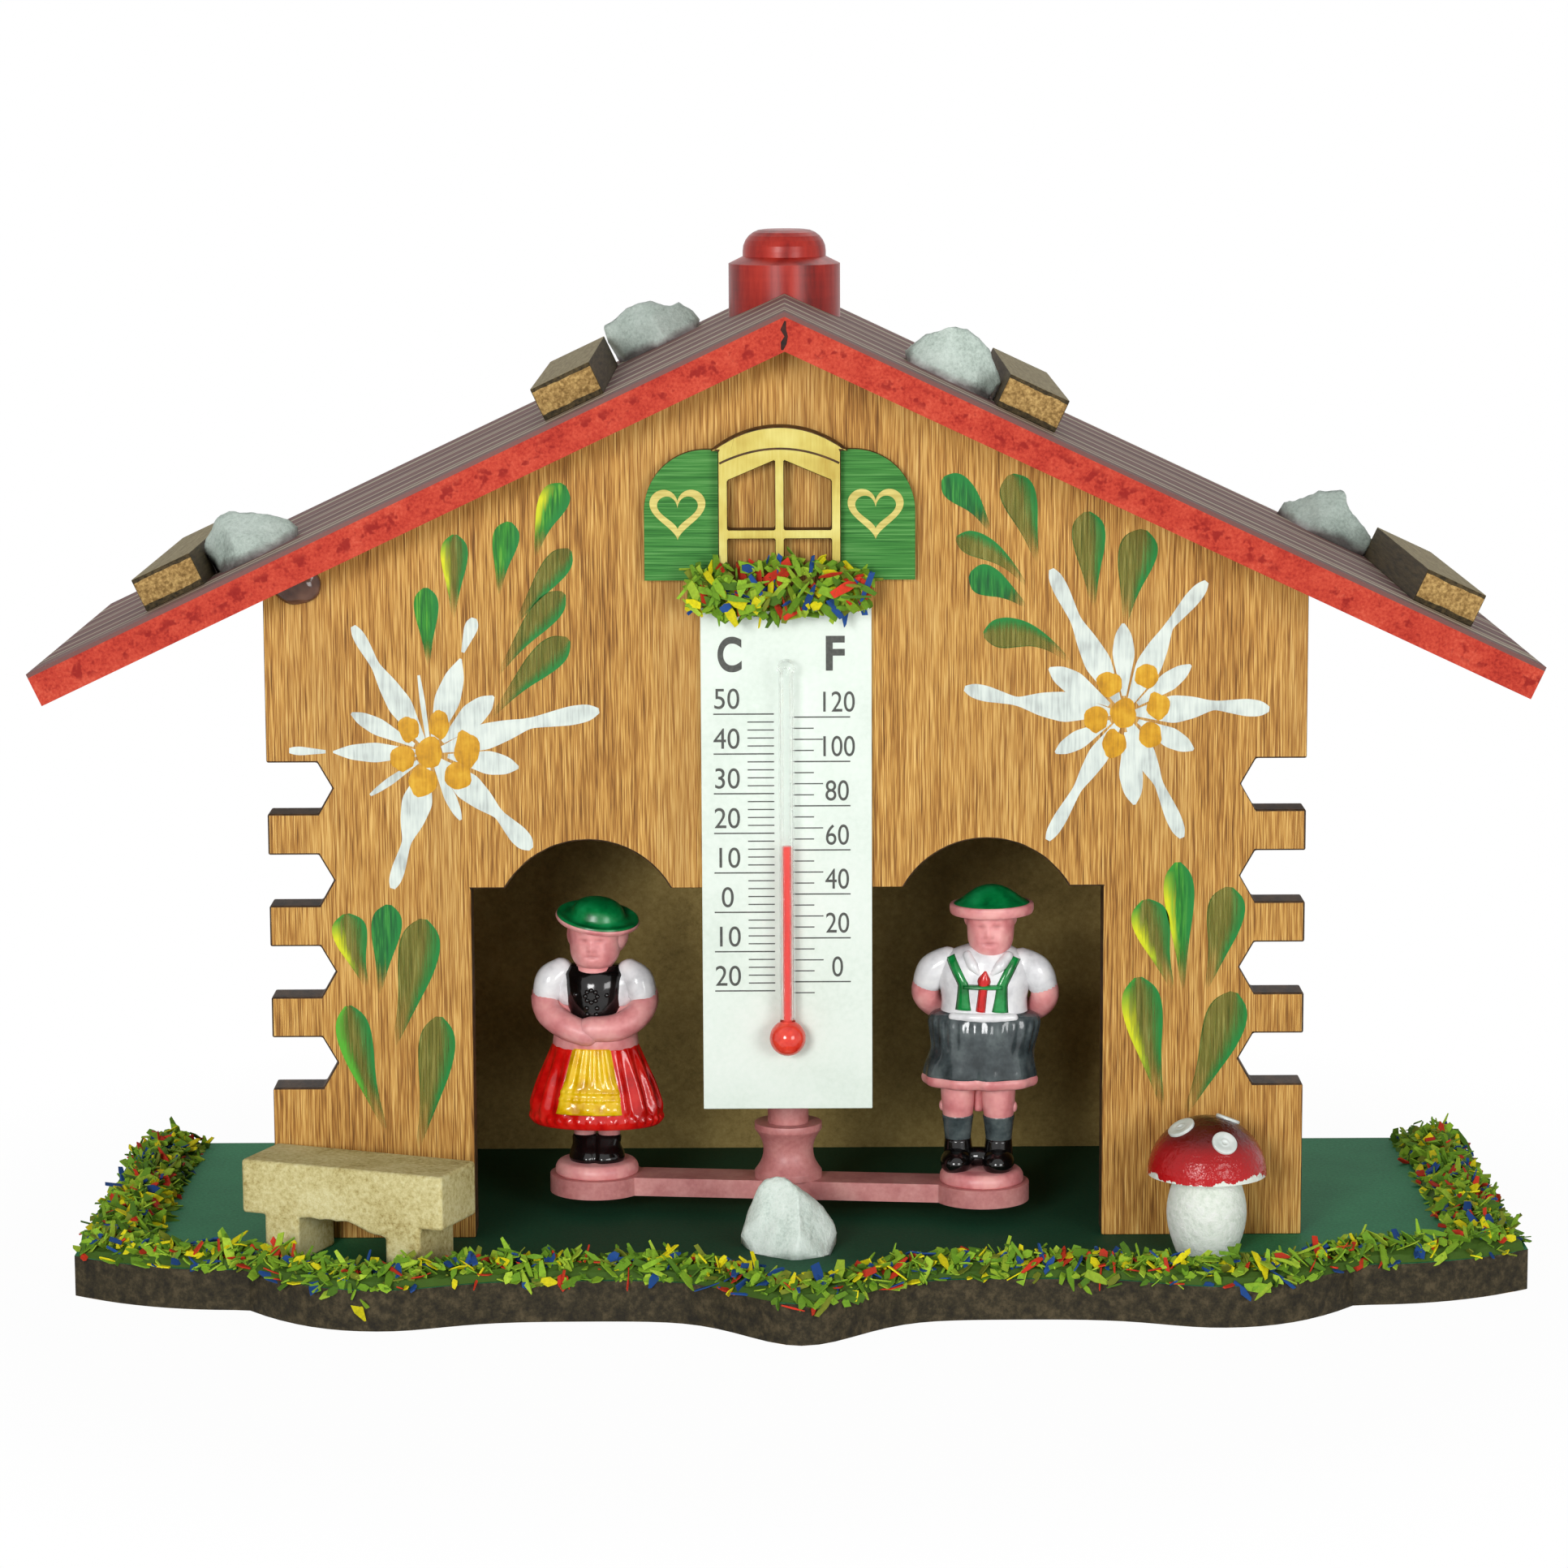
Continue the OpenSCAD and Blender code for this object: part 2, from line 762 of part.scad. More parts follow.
// Outline of one pane, in the frame's right half, between two heights
module pane(low, high_middle, high_side) {
    inner = bar_w / 2;
    outer = frame_w / 2 - bar_w;
    polygon([[inner, low], [outer, low], [outer, high_side], [inner, high_middle]]);
}

module window_frame() {
    cornice_r = (pow(cornice_w / 2, 2) + pow(cornice_rise, 2)) / (2 * cornice_rise);
    head = frame_h - bar_w;
    color("khaki")
        along_y(front_y - frame_t, frame_t)
            translate([window_x, window_foot])
                difference() {
                    union() {
                        translate([-frame_w / 2, 0])
                            square([frame_w, frame_h]);
                        intersection() {
                            translate([0, frame_h + cornice_rise - cornice_r])
                                circle(cornice_r, $fn = 96);
                            translate([-cornice_w / 2, frame_h])
                                square([cornice_w, cornice_rise + cut]);
                        }
                    }
                    for (turn = [0, 1])
                        mirror([turn, 0]) {
                            pane(bar_w, cross_z - bar_w, cross_z - bar_w);
                            pane(cross_z, head, head - pane_drop);
                        }
                }
}

module shutter(side) {
    hinge_x = window_x + side * (frame_w / 2 + glue_fit);
    color("forestgreen")
        along_y(front_y - trim_t, trim_t)
            translate([hinge_x, window_foot + shutter_z])
                difference() {
                    translate([min(0, side * shutter_w), 0])
                        square([shutter_w, shutter_h]);
                    translate([side * (shutter_w - shutter_r), shutter_h - shutter_r])
                        difference() {
                            translate([min(0, side * 2 * shutter_r), 0])
                                square(2 * shutter_r);
                            circle(shutter_r);
                        }
                }
}

// Tuft of flakes on the frame's foot, two layers of a row of round lumps that swells to the middle
module window_flowers() {
    lumps = 7;
    layer_d = tuft_d / 2;
    color("yellowgreen")
        for (layer = [0, 1])
            along_y(window_y - (layer + 1) * layer_d, layer_d)
                translate([window_x, window_foot + tuft_z])
                    for (i = [0 : lumps - 1])
                        let (t = 2 * i / (lumps - 1) - 1, r = tuft_h / 2 * (1 - 0.3 * t * t))
                            translate([t * (tuft_w / 2 - r), 0])
                                circle(r * (1 - 0.25 * layer));
}

module thermometer_card() {
    color("honeydew")
        along_y(front_y - card_t, card_t)
            translate([-card_w / 2, card_foot])
                square([card_w, card_h]);
}

module thermometer_tube() {
    color("lightcyan")
        translate([0, tube_y, bulb_centre])
            difference() {
                union() {
                    sphere(d = bulb_d);
                    cylinder(d = stem_d, h = stem_len);
                    translate([0, 0, stem_len])
                        sphere(d = knob_d);
                }
                sphere(d = bulb_d - 2 * bulb_wall);
                cylinder(d = stem_bore, h = stem_len);
            }
}

module thermometer_spirit() {
    color("indianred")
        translate([0, tube_y, bulb_centre]) {
            sphere(d = bulb_d - 2 * bulb_wall - 2 * glue_fit);
            cylinder(d = stem_bore - 2 * glue_fit, h = spirit_h);
        }
}

module bench() {
    // Its rear corner stands just in front of the house
    bench_y = front_y - pass_gap - (bench_l * sin(bench_turn) + bench_d * cos(bench_turn)) / 2;
    color("wheat")
        translate([-bench_x, bench_y, base_t])
            rotate([0, 0, -bench_turn])
                translate([-bench_l / 2, -bench_d / 2, 0]) {
                    translate([0, 0, leg_h])
                        cube([bench_l, bench_d, seat_t]);
                    for (x = [leg_in, bench_l - leg_in - leg_w])
                        translate([x, 0, 0])
                            cube([leg_w, bench_d, leg_h]);
                }
}

module mushroom_stalk() {
    color("whitesmoke")
        translate([mushroom_x, front_y - mushroom_y, base_t])
            rotate_extrude()
                polygon(concat(
                    [[0, 0]],
                    [
                        for (i = [0 : 10])
                            let (t = i / 10)
                                [(stalk_end_d + (stalk_d - stalk_end_d) * sin(180 * t)) / 2, stalk_h * t]
                    ],
                    [[0, stalk_h]]
                ));
}

module mushroom_cap() {
    color("firebrick")
        translate([mushroom_x, front_y - mushroom_y, base_t + stalk_h])
            rotate_extrude()
                polygon(concat(
                    [[0, 0]],
                    [for (angle = [0 : 7.5 : 90]) [mushroom_d / 2 * cos(angle), mushroom_h * sin(angle)]]
                ));
}

module front_stone() {
    color("gainsboro")
        translate([0, front_y - front_stone_y, base_t])
            pebble(front_stone_l, front_stone_w, front_stone_h);
}

base_board();
front_wall();
back_wall();
side_wall(LEFT);  // side_wall_left
side_wall(RIGHT);  // side_wall_right
roof_board(LEFT);  // roof_board_left
roof_board(RIGHT);  // roof_board_right
roof_cover(LEFT);  // roof_cover_left
roof_cover(RIGHT);  // roof_cover_right
chimney();
hanger_block();
adjuster_plug();
gut_strand();
gut_anchor();
figure_carrier();
woman();
man();
window_frame();
shutter(LEFT);  // shutter_left
shutter(RIGHT);  // shutter_right
window_flowers();
thermometer_card();
thermometer_tube();
thermometer_spirit();
slat(LEFT, slat_upper_left_u);  // slat_upper_left
slat(LEFT, slat_lower_left_u);  // slat_lower_left
slat(RIGHT, slat_upper_right_u);  // slat_upper_right
slat(RIGHT, slat_lower_right_u);  // slat_lower_right
roof_stone(LEFT, slat_upper_left_u, roof_depth - stone_rear);  // stone_upper_left
roof_stone(LEFT, slat_lower_left_u, stone_front);  // stone_lower_left
roof_stone(RIGHT, slat_upper_right_u, stone_front);  // stone_upper_right
roof_stone(RIGHT, slat_lower_right_u, roof_depth - stone_rear);  // stone_lower_right
bench();
mushroom_stalk();
mushroom_cap();
front_stone();
turf_front();
turf_end(LEFT);  // turf_left
turf_end(RIGHT);  // turf_right
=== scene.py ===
import math
import random

import bmesh
import bpy
from mathutils import Matrix, Vector, noise


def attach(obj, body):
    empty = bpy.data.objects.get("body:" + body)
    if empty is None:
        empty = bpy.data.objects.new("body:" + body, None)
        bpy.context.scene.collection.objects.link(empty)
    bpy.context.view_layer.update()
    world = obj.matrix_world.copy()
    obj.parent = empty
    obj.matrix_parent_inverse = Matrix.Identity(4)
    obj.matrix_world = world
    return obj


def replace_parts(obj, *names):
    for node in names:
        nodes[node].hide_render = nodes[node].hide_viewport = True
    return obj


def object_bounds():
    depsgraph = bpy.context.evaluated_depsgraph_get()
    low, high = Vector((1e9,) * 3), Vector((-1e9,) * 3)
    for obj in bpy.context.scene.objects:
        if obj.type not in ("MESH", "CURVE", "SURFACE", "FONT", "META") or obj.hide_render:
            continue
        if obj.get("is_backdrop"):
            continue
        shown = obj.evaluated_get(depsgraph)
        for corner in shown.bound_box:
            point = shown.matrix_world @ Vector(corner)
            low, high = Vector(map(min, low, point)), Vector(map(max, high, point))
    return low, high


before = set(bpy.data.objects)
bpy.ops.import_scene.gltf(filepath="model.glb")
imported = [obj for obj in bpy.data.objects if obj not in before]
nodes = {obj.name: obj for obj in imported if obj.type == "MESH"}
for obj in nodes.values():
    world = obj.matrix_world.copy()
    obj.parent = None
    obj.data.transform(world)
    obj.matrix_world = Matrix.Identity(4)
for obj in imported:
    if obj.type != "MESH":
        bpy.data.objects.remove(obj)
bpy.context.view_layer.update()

# Base board: a plank of plywood cut by a laser to a scalloped front, which burns its edge dark brown.
# The top is sprayed a flat green, darkened inside the house and in front of the doorway as painted shade, and the house
# and the garden are glued on it.
MM = 0.001
SHARP = math.radians(35)


class Wire:
    """A socket in a finish's node tree. Sums on wires add Math nodes, and node() adds any other node."""

    def __init__(self, tree, socket):
        self.tree = tree
        self.socket = socket

    def node(self, kind, settings, sockets, out=0):
        made = self.tree.nodes.new("ShaderNode" + kind)
        for name, value in settings.items():
            if name == "stops":
                while len(made.color_ramp.elements) < len(value):
                    made.color_ramp.elements.new(1.0)
                for element, (position, colour) in zip(made.color_ramp.elements, value):
                    element.position = position
                    element.color = colour
            else:
                setattr(made, name, value)
        for name, value in sockets.items():
            if isinstance(value, Wire):
                self.tree.links.new(value.socket, made.inputs[name])
            else:
                made.inputs[name].default_value = value
        return Wire(self.tree, made.outputs[out])

    def feed(self, name):
        self.tree.links.new(self.socket, self.tree.nodes["Principled BSDF"].inputs[name])

    def sum(self, operation, first, second):
        return self.node("Math", {"operation": operation}, {0: first, 1: second})

    def __add__(self, other):
        return self.sum("ADD", self, other)

    def __radd__(self, other):
        return self.sum("ADD", other, self)

    def __sub__(self, other):
        return self.sum("SUBTRACT", self, other)

    def __rsub__(self, other):
        return self.sum("SUBTRACT", other, self)

    def __mul__(self, other):
        return self.sum("MULTIPLY", self, other)

    def __rmul__(self, other):
        return self.sum("MULTIPLY", other, self)

    def __gt__(self, other):
        return self.sum("GREATER_THAN", self, other)

    def __lt__(self, other):
        return self.sum("LESS_THAN", self, other)


def paint(red, green, blue):
    """Linear colour of a paint that is read as red, green and blue from 0 to 255."""
    channels = [v / 255 for v in (red, green, blue)]
    return (*[v / 12.92 if v <= 0.04045 else ((v + 0.055) / 1.055) ** 2.4 for v in channels], 1.0)


def new_finish(name, rough, shine=0.5, **others):
    """A finish with constants on its shader, such as Coat_Weight, and the wire of the place on the piece."""
    material = bpy.data.materials.new(name)
    material.use_nodes = True
    tree = material.node_tree
    sockets = tree.nodes["Principled BSDF"].inputs
    sockets["Roughness"].default_value = rough
    sockets["Specular IOR Level"].default_value = shine
    for socket, value in others.items():
        sockets[socket.replace("_", " ")].default_value = value
    return material, Wire(tree, None).node("TexCoord", {}, {}, "Object")


def grain(place, spots, detail=3.0, rough=0.6):
    """Noise from 0 to 1 with that many spots a metre, or that many along X, Y and Z."""
    spots = spots if isinstance(spots, tuple) else (spots, spots, spots)
    scaled = place.node("VectorMath", {"operation": "MULTIPLY"}, {0: place, 1: spots})
    return place.node("TexNoise", {}, {"Vector": scaled, "Scale": 1.0, "Detail": detail, "Roughness": rough})


def tones(wire, *stops):
    """Colour that runs through stops of (value, red, green, blue)."""
    return wire.node("ValToRGB", {"stops": [(at, paint(*colour)) for at, *colour in stops]}, {"Fac": wire})


def coat(cover, under, top):
    """Colour of a coat with that cover from 0 to 1, over the colour under it."""
    return cover.node("Mix", {"data_type": "RGBA"}, {0: cover, 6: under, 7: top}, 2)


def ramp(wire, low, high):
    """0 at low, 1 at high, and straight between."""
    return wire.node("MapRange", {}, {"Value": wire, "From Min": low, "From Max": high})


def relief(height, strength, depth):
    height.node("Bump", {}, {"Height": height, "Strength": strength, "Distance": depth * MM}).feed("Normal")


def along_axis(vector, axis):
    return vector.node("SeparateXYZ", {}, {"Vector": vector}, axis)


def looks_along(place, axis):
    """Part of the surface's direction that lies along an axis, from -1 to 1."""
    return along_axis(place.node("NewGeometry", {}, {}, "True Normal"), axis)


def dress(material, *names):
    for name in names:
        for held in nodes[name].material_slots:
            held.material = material


def soften(width, *names):
    """Rounds the sharp edges of solids a little."""
    for name in names:
        nodes[name].modifiers.new("weld", "WELD").merge_threshold = 0.001 * MM
        bevel = nodes[name].modifiers.new("bevel", "BEVEL")
        bevel.width = width * MM
        bevel.segments = 2
        bevel.limit_method = "ANGLE"
        bevel.angle_limit = SHARP
        nodes[name].modifiers.new("normals", "WEIGHTED_NORMAL")


board_green, place = new_finish("board_green", 0.7, 0.2)
spray = grain(place, 2600, 2.0)
wear = grain(place, 60, 4.0)
green = tones(spray * 0.6 + wear * 0.4, (0.3, 28, 100, 64), (0.5, 44, 126, 84), (0.72, 60, 146, 100))
char = grain(place, 700, 5.0, 0.75)
edge = tones(char, (0.36, 28, 24, 15), (0.5, 50, 44, 29), (0.66, 80, 70, 50))
raw = tones(grain(place, (25, 900, 900), 4.0), (0.3, 150, 112, 66), (0.7, 196, 158, 104))
across, back = along_axis(place, "X"), along_axis(place, "Y")
# Painted shade: the green top is darkened inside the house and just in front of the doorway.
painted_shade_indoors = ramp(across * across, 0.0033, 0.0021) * ramp(back, -0.042, -0.026)
green = coat(painted_shade_indoors * 0.78, green, paint(10, 30, 21))
up = looks_along(place, "Z")
coat(up > 0.5, coat(up < -0.5, edge, raw), green).feed("Base Color")
relief(spray * 0.5 + char * 0.5, 0.25, 0.15)
dress(board_green, "base_board")
soften(0.25, "base_board")

# Walls: a front of 5 mm plywood with sawn log ends and a double-arched doorway, stained honey brown.
# Plain side walls stand behind it, and a thin dark board closes the back.
X, Y, Z = 0, 1, 2


def fibres(place, axis, across, along, detail, rough):
    """Grain of wood whose fibres lie along one axis, with that many spots a metre across and along them."""
    return grain(place, tuple(along if i == axis else across for i in (X, Y, Z)), detail, rough)


def stain_tones(place, axis, fine=(5600, 150), pores=(10000, 380)):
    """Colour and fibre height of stained plywood with its grain along an axis."""
    fibre = fibres(place, axis, *fine, 1.0, 0.5)
    pore = fibres(place, axis, *pores, 1.0, 0.5)
    broad = fibres(place, axis, 110, 14, 3.0, 0.6)
    colour = tones(
        fibre * 0.4 + pore * 0.4 + broad * 0.2,
        (0.36, 104, 66, 25), (0.46, 162, 112, 50), (0.54, 198, 150, 76), (0.66, 230, 190, 115),
    )
    return coat(ramp(broad, 0.52, 0.75) * 0.35, colour, paint(128, 86, 42)), fibre


stained_ply, place = new_finish("stained_ply", 0.58, 0.2)
face, fibre = stain_tones(place, Z, (7600, 150), (14000, 320))
across = looks_along(place, "Y")
sawn = tones(grain(place, (700, 260, 700)), (0.35, 44, 30, 18), (0.65, 82, 60, 38))
coat(across * across > 0.9, sawn, face).feed("Base Color")
relief(fibre, 0.3, 0.1)
dress(stained_ply, "front_wall")
soften(0.2, "front_wall")

side_ply, place = new_finish("side_ply", 0.6, 0.2)
face, fibre = stain_tones(place, Y)
face.feed("Base Color")
relief(fibre, 0.3, 0.1)
dress(side_ply, "side_wall_left", "side_wall_right")

back_board, place = new_finish("back_board", 0.75, 0.2)
press = grain(place, 1500, 4.0, 0.7)
cloud = grain(place, 90)
pulp = tones(press * 0.55 + cloud * 0.45, (0.3, 114, 97, 52), (0.5, 148, 128, 74), (0.7, 174, 153, 92))
pulp.feed("Base Color")
relief(press, 0.4, 0.15)
dress(back_board, "back_wall")

# Painted flowers: two edelweiss and sprays of leaves, brushed by hand on the stained front.
# Each petal or leaf is one loaded stroke of thin paint, through which the grain of the wood shows.
FRONT = -15.6
ACROSS = (-1.0, -0.5, 0.0, 0.5, 1.0)
PROUD, SUNK = 0.02, 0.08
BRISTLES = (3600, 3600, 240)
DAUB_POINTS = 20


def new_piece(name, verts, faces, material, body, slot, smooth=True):
    """A piece from points in millimetres, on a body; its slot argument is not used."""
    mesh = bpy.data.meshes.new(name)
    mesh.from_pydata([Vector(v) * MM for v in verts], [], faces)
    outward = bmesh.new()
    outward.from_mesh(mesh)
    bmesh.ops.recalc_face_normals(outward, faces=outward.faces)
    outward.to_mesh(mesh)
    outward.free()
    mesh.materials.append(material)
    mesh.shade_smooth() if smooth else mesh.shade_flat()
    made = bpy.data.objects.new(name, mesh)
    bpy.context.scene.collection.objects.link(made)
    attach(made, body)
    return made


def tint(piece, name, colours):
    """Stores one colour for each point of the piece."""
    layer = piece.data.attributes.new(name, "FLOAT_COLOR", "POINT")
    layer.data.foreach_set("color", [channel for colour in colours for channel in (*colour, 1.0)])


def skin(rows, ring, loop=False):
    """Faces over rows of ring points each, closed round every row, and with two ends or in a loop of rows."""
    faces = []
    for i in range(rows if loop else rows - 1):
        a, b = i * ring, (i + 1) % rows * ring
        faces += [(a + k, a + (k + 1) % ring, b + (k + 1) % ring, b + k) for k in range(ring)]
    return faces if loop else faces + [tuple(range(ring)), tuple(range((rows - 1) * ring, rows * ring))]


def run_at(line, i):
    """Direction of a line at one of its points."""
    before, after = line[max(0, i - 1)], line[min(len(line) - 1, i + 1)]
    return Vector((after[0] - before[0], after[1] - before[1])).normalized()


def brush(line, widths, surface, crown=0.02):
    """Points, faces and (along, across) of one stroke along a line of (x, z), lying on a surface y(x, z)."""
    verts, marks = [], []
    section = [(s, -PROUD - crown * (1 - s * s)) for s in ACROSS] + [(0.6, SUNK), (-0.6, SUNK)]
    for i, (x, z) in enumerate(line):
        run = run_at(line, i)
        for s, y in section:
            px, pz = x - run.y * s * widths[i], z + run.x * s * widths[i]
            verts.append((px, surface(px, pz) + y, pz))
            marks.append((i / (len(line) - 1), s * 0.5 + 0.5, 0.0))
    return verts, skin(len(line), len(section)), marks


def gather(parts):
    """One list of points, faces and marks from those of several strokes."""
    verts, faces, marks = [], [], []
    for part_verts, part_faces, part_marks in parts:
        faces += [tuple(k + len(verts) for k in face) for face in part_faces]
        verts += part_verts
        marks += part_marks
    return verts, faces, marks


def stretch(points, count):
    """Evenly spread points along a bent line."""
    legs = [math.dist(p, q) for p, q in zip(points, points[1:])]
    out = []
    for i in range(count):
        left = sum(legs) * i / (count - 1)
        for p, q, leg in zip(points, points[1:], legs):
            if left <= leg or q == points[-1]:
                out.append(between(p, q, min(left / leg, 1.0)))
                break
            left -= leg
    return out


def between(p, q, t):
    return tuple(a + (b - a) * t for a, b in zip(p, q))


def level(knots, t):
    """Value at t on straight lines between knots of (t, value)."""
    for (t0, v0), (t1, v1) in zip(knots, knots[1:]):
        if t <= t1:
            return v0 + (v1 - v0) * max(0.0, t - t0) / (t1 - t0)
    return knots[-1][1]


def form(knots, count):
    """Half widths along a stroke, through knots of (part of the length, half width), with the corners eased."""
    widths = [level(knots, i / (count - 1)) for i in range(count)]
    for _ in range(3):
        eased = [(a + 2 * b + c) / 4 for a, b, c in zip(widths, widths[1:], widths[2:])]
        widths = [widths[0], *eased, widths[-1]]
    return widths


def on_front(x, z):
    return FRONT


def stroke_through(points, count, knots, crown=0.02):
    """Stroke on the front wall along a bent line, as wide as the knots say."""
    return brush(stretch(points, count), form(knots, count), on_front, crown)


def long_petal(centre, tip, waist, body, neck, blob, gap):
    """Petal that swells, narrows to a neck and ends in a round blob, which a dry brush may leave apart."""
    start = between(centre, waist, 0.12)
    turn = math.dist(start, waist) / (math.dist(start, waist) + math.dist(waist, tip))
    end = 1 - turn
    if gap:
        apart = between(waist, tip, gap / math.dist(waist, tip))
        return [
            stroke_through([start, waist], 28, [(0, 0.4), (0.5, body), (0.8, 0.72 * body), (1, 0.12)]),
            stroke_through([apart, tip], 20, [(0, 0.2), (0.7, blob), (0.9, 0.85 * blob), (1, 0.3)]),
        ]
    knots = [
        (0, 0.4), (0.48 * turn, body), (0.75 * turn, 0.75 * body), (turn, neck), (1 - 0.4 * end, blob),
        (1 - 0.12 * end, 0.86 * blob), (1, 0.3),
    ]
    return [stroke_through([start, waist, tip], 44, knots)]


def short_petal(centre, tip, width):
    knots = [(0, 0.25), (0.58, width), (0.86, 0.72 * width), (1, 0.16)]
    return stroke_through([between(centre, tip, 0.2), tip], 24, knots, 0.015)


LEAF_POINTS = 30
LEAF_FORM = form([
    (0.0, 0.2), (0.04, 0.66), (0.11, 0.98), (0.23, 1.1), (0.4, 0.94), (0.58, 0.62), (0.76, 0.36), (0.92, 0.2),
    (1.0, 0.08),
], LEAF_POINTS)


def leaf(blunt, point, width, bow, kind):
    """Leaf stroke from its loaded round end to the tail where the brush lifts."""
    dx, dz = point[0] - blunt[0], point[1] - blunt[1]
    line = []
    for i in range(LEAF_POINTS):
        t = i / (LEAF_POINTS - 1)
        side = bow * math.sin(math.pi * t)
        line.append((blunt[0] + dx * t - dz * side, blunt[1] + dz * t + dx * side))
    verts, faces, marks = brush(line, [width * w for w in LEAF_FORM], on_front, 0.0)
    return verts, faces, [(along, over, kind) for along, over, _ in marks]


def daub(x, z, wide, high, seed):
    """Dab of thick paint with an uneven rim."""
    rim, faces = [], []
    for k in range(DAUB_POINTS):
        c, s = math.cos(2 * math.pi * k / DAUB_POINTS), math.sin(2 * math.pi * k / DAUB_POINTS)
        r = 1 + 0.3 * noise.noise(Vector((1.3 * c, 1.3 * s, 7.0 * seed)))
        rim.append((x + wide * r * c, FRONT - 0.05, z + high * r * s))
        n = (k + 1) % DAUB_POINTS
        inner, top = DAUB_POINTS, 2 * DAUB_POINTS
        faces += [(k, n, inner + n, inner + k), (inner + k, inner + n, top), (n, k, top + 1)]
    crown = [(x + (p[0] - x) * 0.8, FRONT - 0.07, z + (p[2] - z) * 0.8) for p in rim]
    verts = rim + crown + [(x, FRONT - 0.08, z), (x, FRONT + 0.1, z)]
    return verts, faces, [(0.5, 0.5, 0.0)] * len(verts)


petal_white, place = new_finish("petal_white", 0.5, 0.3)
thin = grain(place, BRISTLES, 2.0)
load = grain(place, 260, 2.0)
white = tones(thin * 0.45 + load * 0.55, (0.36, 176, 184, 180), (0.47, 202, 212, 206), (0.6, 219, 228, 220))
white.feed("Base Color")
relief(thin, 0.2, 0.06)

daub_yellow, place = new_finish("daub_yellow", 0.45, 0.3)
clots = grain(place, 500) * 0.6 + grain(place, BRISTLES, 2.0) * 0.4
tones(clots, (0.36, 170, 118, 8), (0.5, 202, 146, 12), (0.68, 220, 172, 44)).feed("Base Color")

WASHED, FRESH_EDGED, EDGED, LOADED, PLAIN, DARK = 0.0, 0.35, 0.5, 0.8, 0.92, 1.0
leaf_paint, place = new_finish("leaf_paint", 0.5, 0.25)
stroke = place.node("Attribute", {"attribute_name": "stroke"}, {})
along, over, kind = (place.node("SeparateColor", {}, {"Color": stroke}, c) for c in ("Red", "Green", "Blue"))
hairs = grain(place, BRISTLES, 2.0)
ragged = over + (hairs - 0.5) * 0.45
green_side = ramp(ragged, 0.55, 0.95)
bright_side = ramp(ragged, 0.38, 0.12) * (kind > 0.25) * (kind < 0.9) * ramp(along, 0.95, 0.6)
loaded = kind > 0.7
wash = tones(hairs, (0.36, 52, 96, 28), (0.52, 82, 116, 38), (0.7, 132, 152, 78))
fresh = tones(hairs, (0.36, 18, 98, 30), (0.55, 46, 136, 36), (0.7, 104, 172, 52))
dark = tones(hairs, (0.36, 8, 80, 36), (0.55, 24, 112, 44), (0.7, 62, 148, 58))
yellow = tones(along, (0.06, 48, 140, 44), (0.3, 214, 216, 26), (0.55, 198, 208, 28), (0.8, 96, 160, 44))
ground = coat(kind > 0.96, coat(loaded, wash, fresh), dark)
bright = coat(kind > 0.42, paint(82, 168, 42), yellow)
coat(bright_side, coat(green_side, ground, paint(24, 124, 52)), bright).feed("Base Color")
cover = place.sum("MINIMUM", 0.52 + 0.46 * (green_side + bright_side + loaded), 0.98)
(cover * ramp(along + (hairs - 0.5) * 0.5, 1.0, 0.62)).feed("Alpha")

FLOWERS = {
    "left": ((-43.1, 65.2), [
        ((-52.1, 80.7), (-49.5, 75.9), 1.5, 0.5, 0.8, 0.0), ((-37.5, 81.6), (-39.2, 76.7), 1.6, 0.4, 0.85, 0.8),
        ((-22.6, 70.3), (-31.0, 68.8), 1.65, 0.6, 1.2, 0.0), ((-31.0, 53.4), (-34.9, 57.7), 1.75, 0.55, 1.2, 0.0),
        ((-47.9, 48.6), (-46.1, 54.3), 1.9, 0.5, 0.85, 0.0), ((-60.1, 65.6), (-54.8, 65.4), 1.25, 0.4, 0.55, 0.9),
    ], [
        ((-52.5, 70.1), 1.1), ((-35.3, 72.1), 1.55), ((-32.4, 63.4), 1.5), ((-39.5, 57.0), 0.75),
        ((-50.4, 60.1), 0.5), ((-44.3, 74.7), 0.32),
    ], [
        (-43.1, 65.2, 1.65, 1.8), (-45.6, 68.2, 1.25, 1.65), (-41.9, 68.7, 1.2, 1.8), (-38.6, 65.7, 1.6, 2.2),
        (-39.7, 62.4, 1.6, 1.7), (-44.0, 61.8, 1.8, 1.8), (-46.4, 64.6, 1.45, 1.6),
    ]),
    "right": ((40.8, 69.6), [
        ((31.9, 87.2), (34.9, 81.0), 1.65, 0.62, 0.95, 0.0), ((50.6, 85.6), (46.1, 80.2), 1.6, 0.5, 0.95, 0.0),
        ((58.3, 70.1), (51.6, 70.6), 1.75, 0.5, 1.1, 0.0), ((47.9, 54.4), (45.0, 61.1), 1.4, 0.5, 0.95, 0.0),
        ((31.6, 54.2), (35.2, 60.5), 1.3, 0.5, 0.85, 0.0), ((21.5, 72.8), (27.8, 71.2), 1.9, 0.45, 1.0, 0.0),
    ], [
        ((40.6, 80.6), 1.4), ((48.8, 75.5), 1.2), ((49.2, 65.2), 1.3), ((42.1, 58.5), 1.5), ((32.5, 64.9), 1.2),
        ((31.7, 75.2), 1.5),
    ], [
        (40.8, 69.6, 1.65, 1.7), (39.0, 73.3, 1.5, 1.6), (43.5, 74.2, 1.4, 1.5), (44.9, 70.6, 1.45, 1.6),
        (44.0, 67.0, 1.35, 1.6), (39.6, 66.0, 1.5, 1.65), (37.4, 69.0, 1.4, 1.65),
    ]),
}
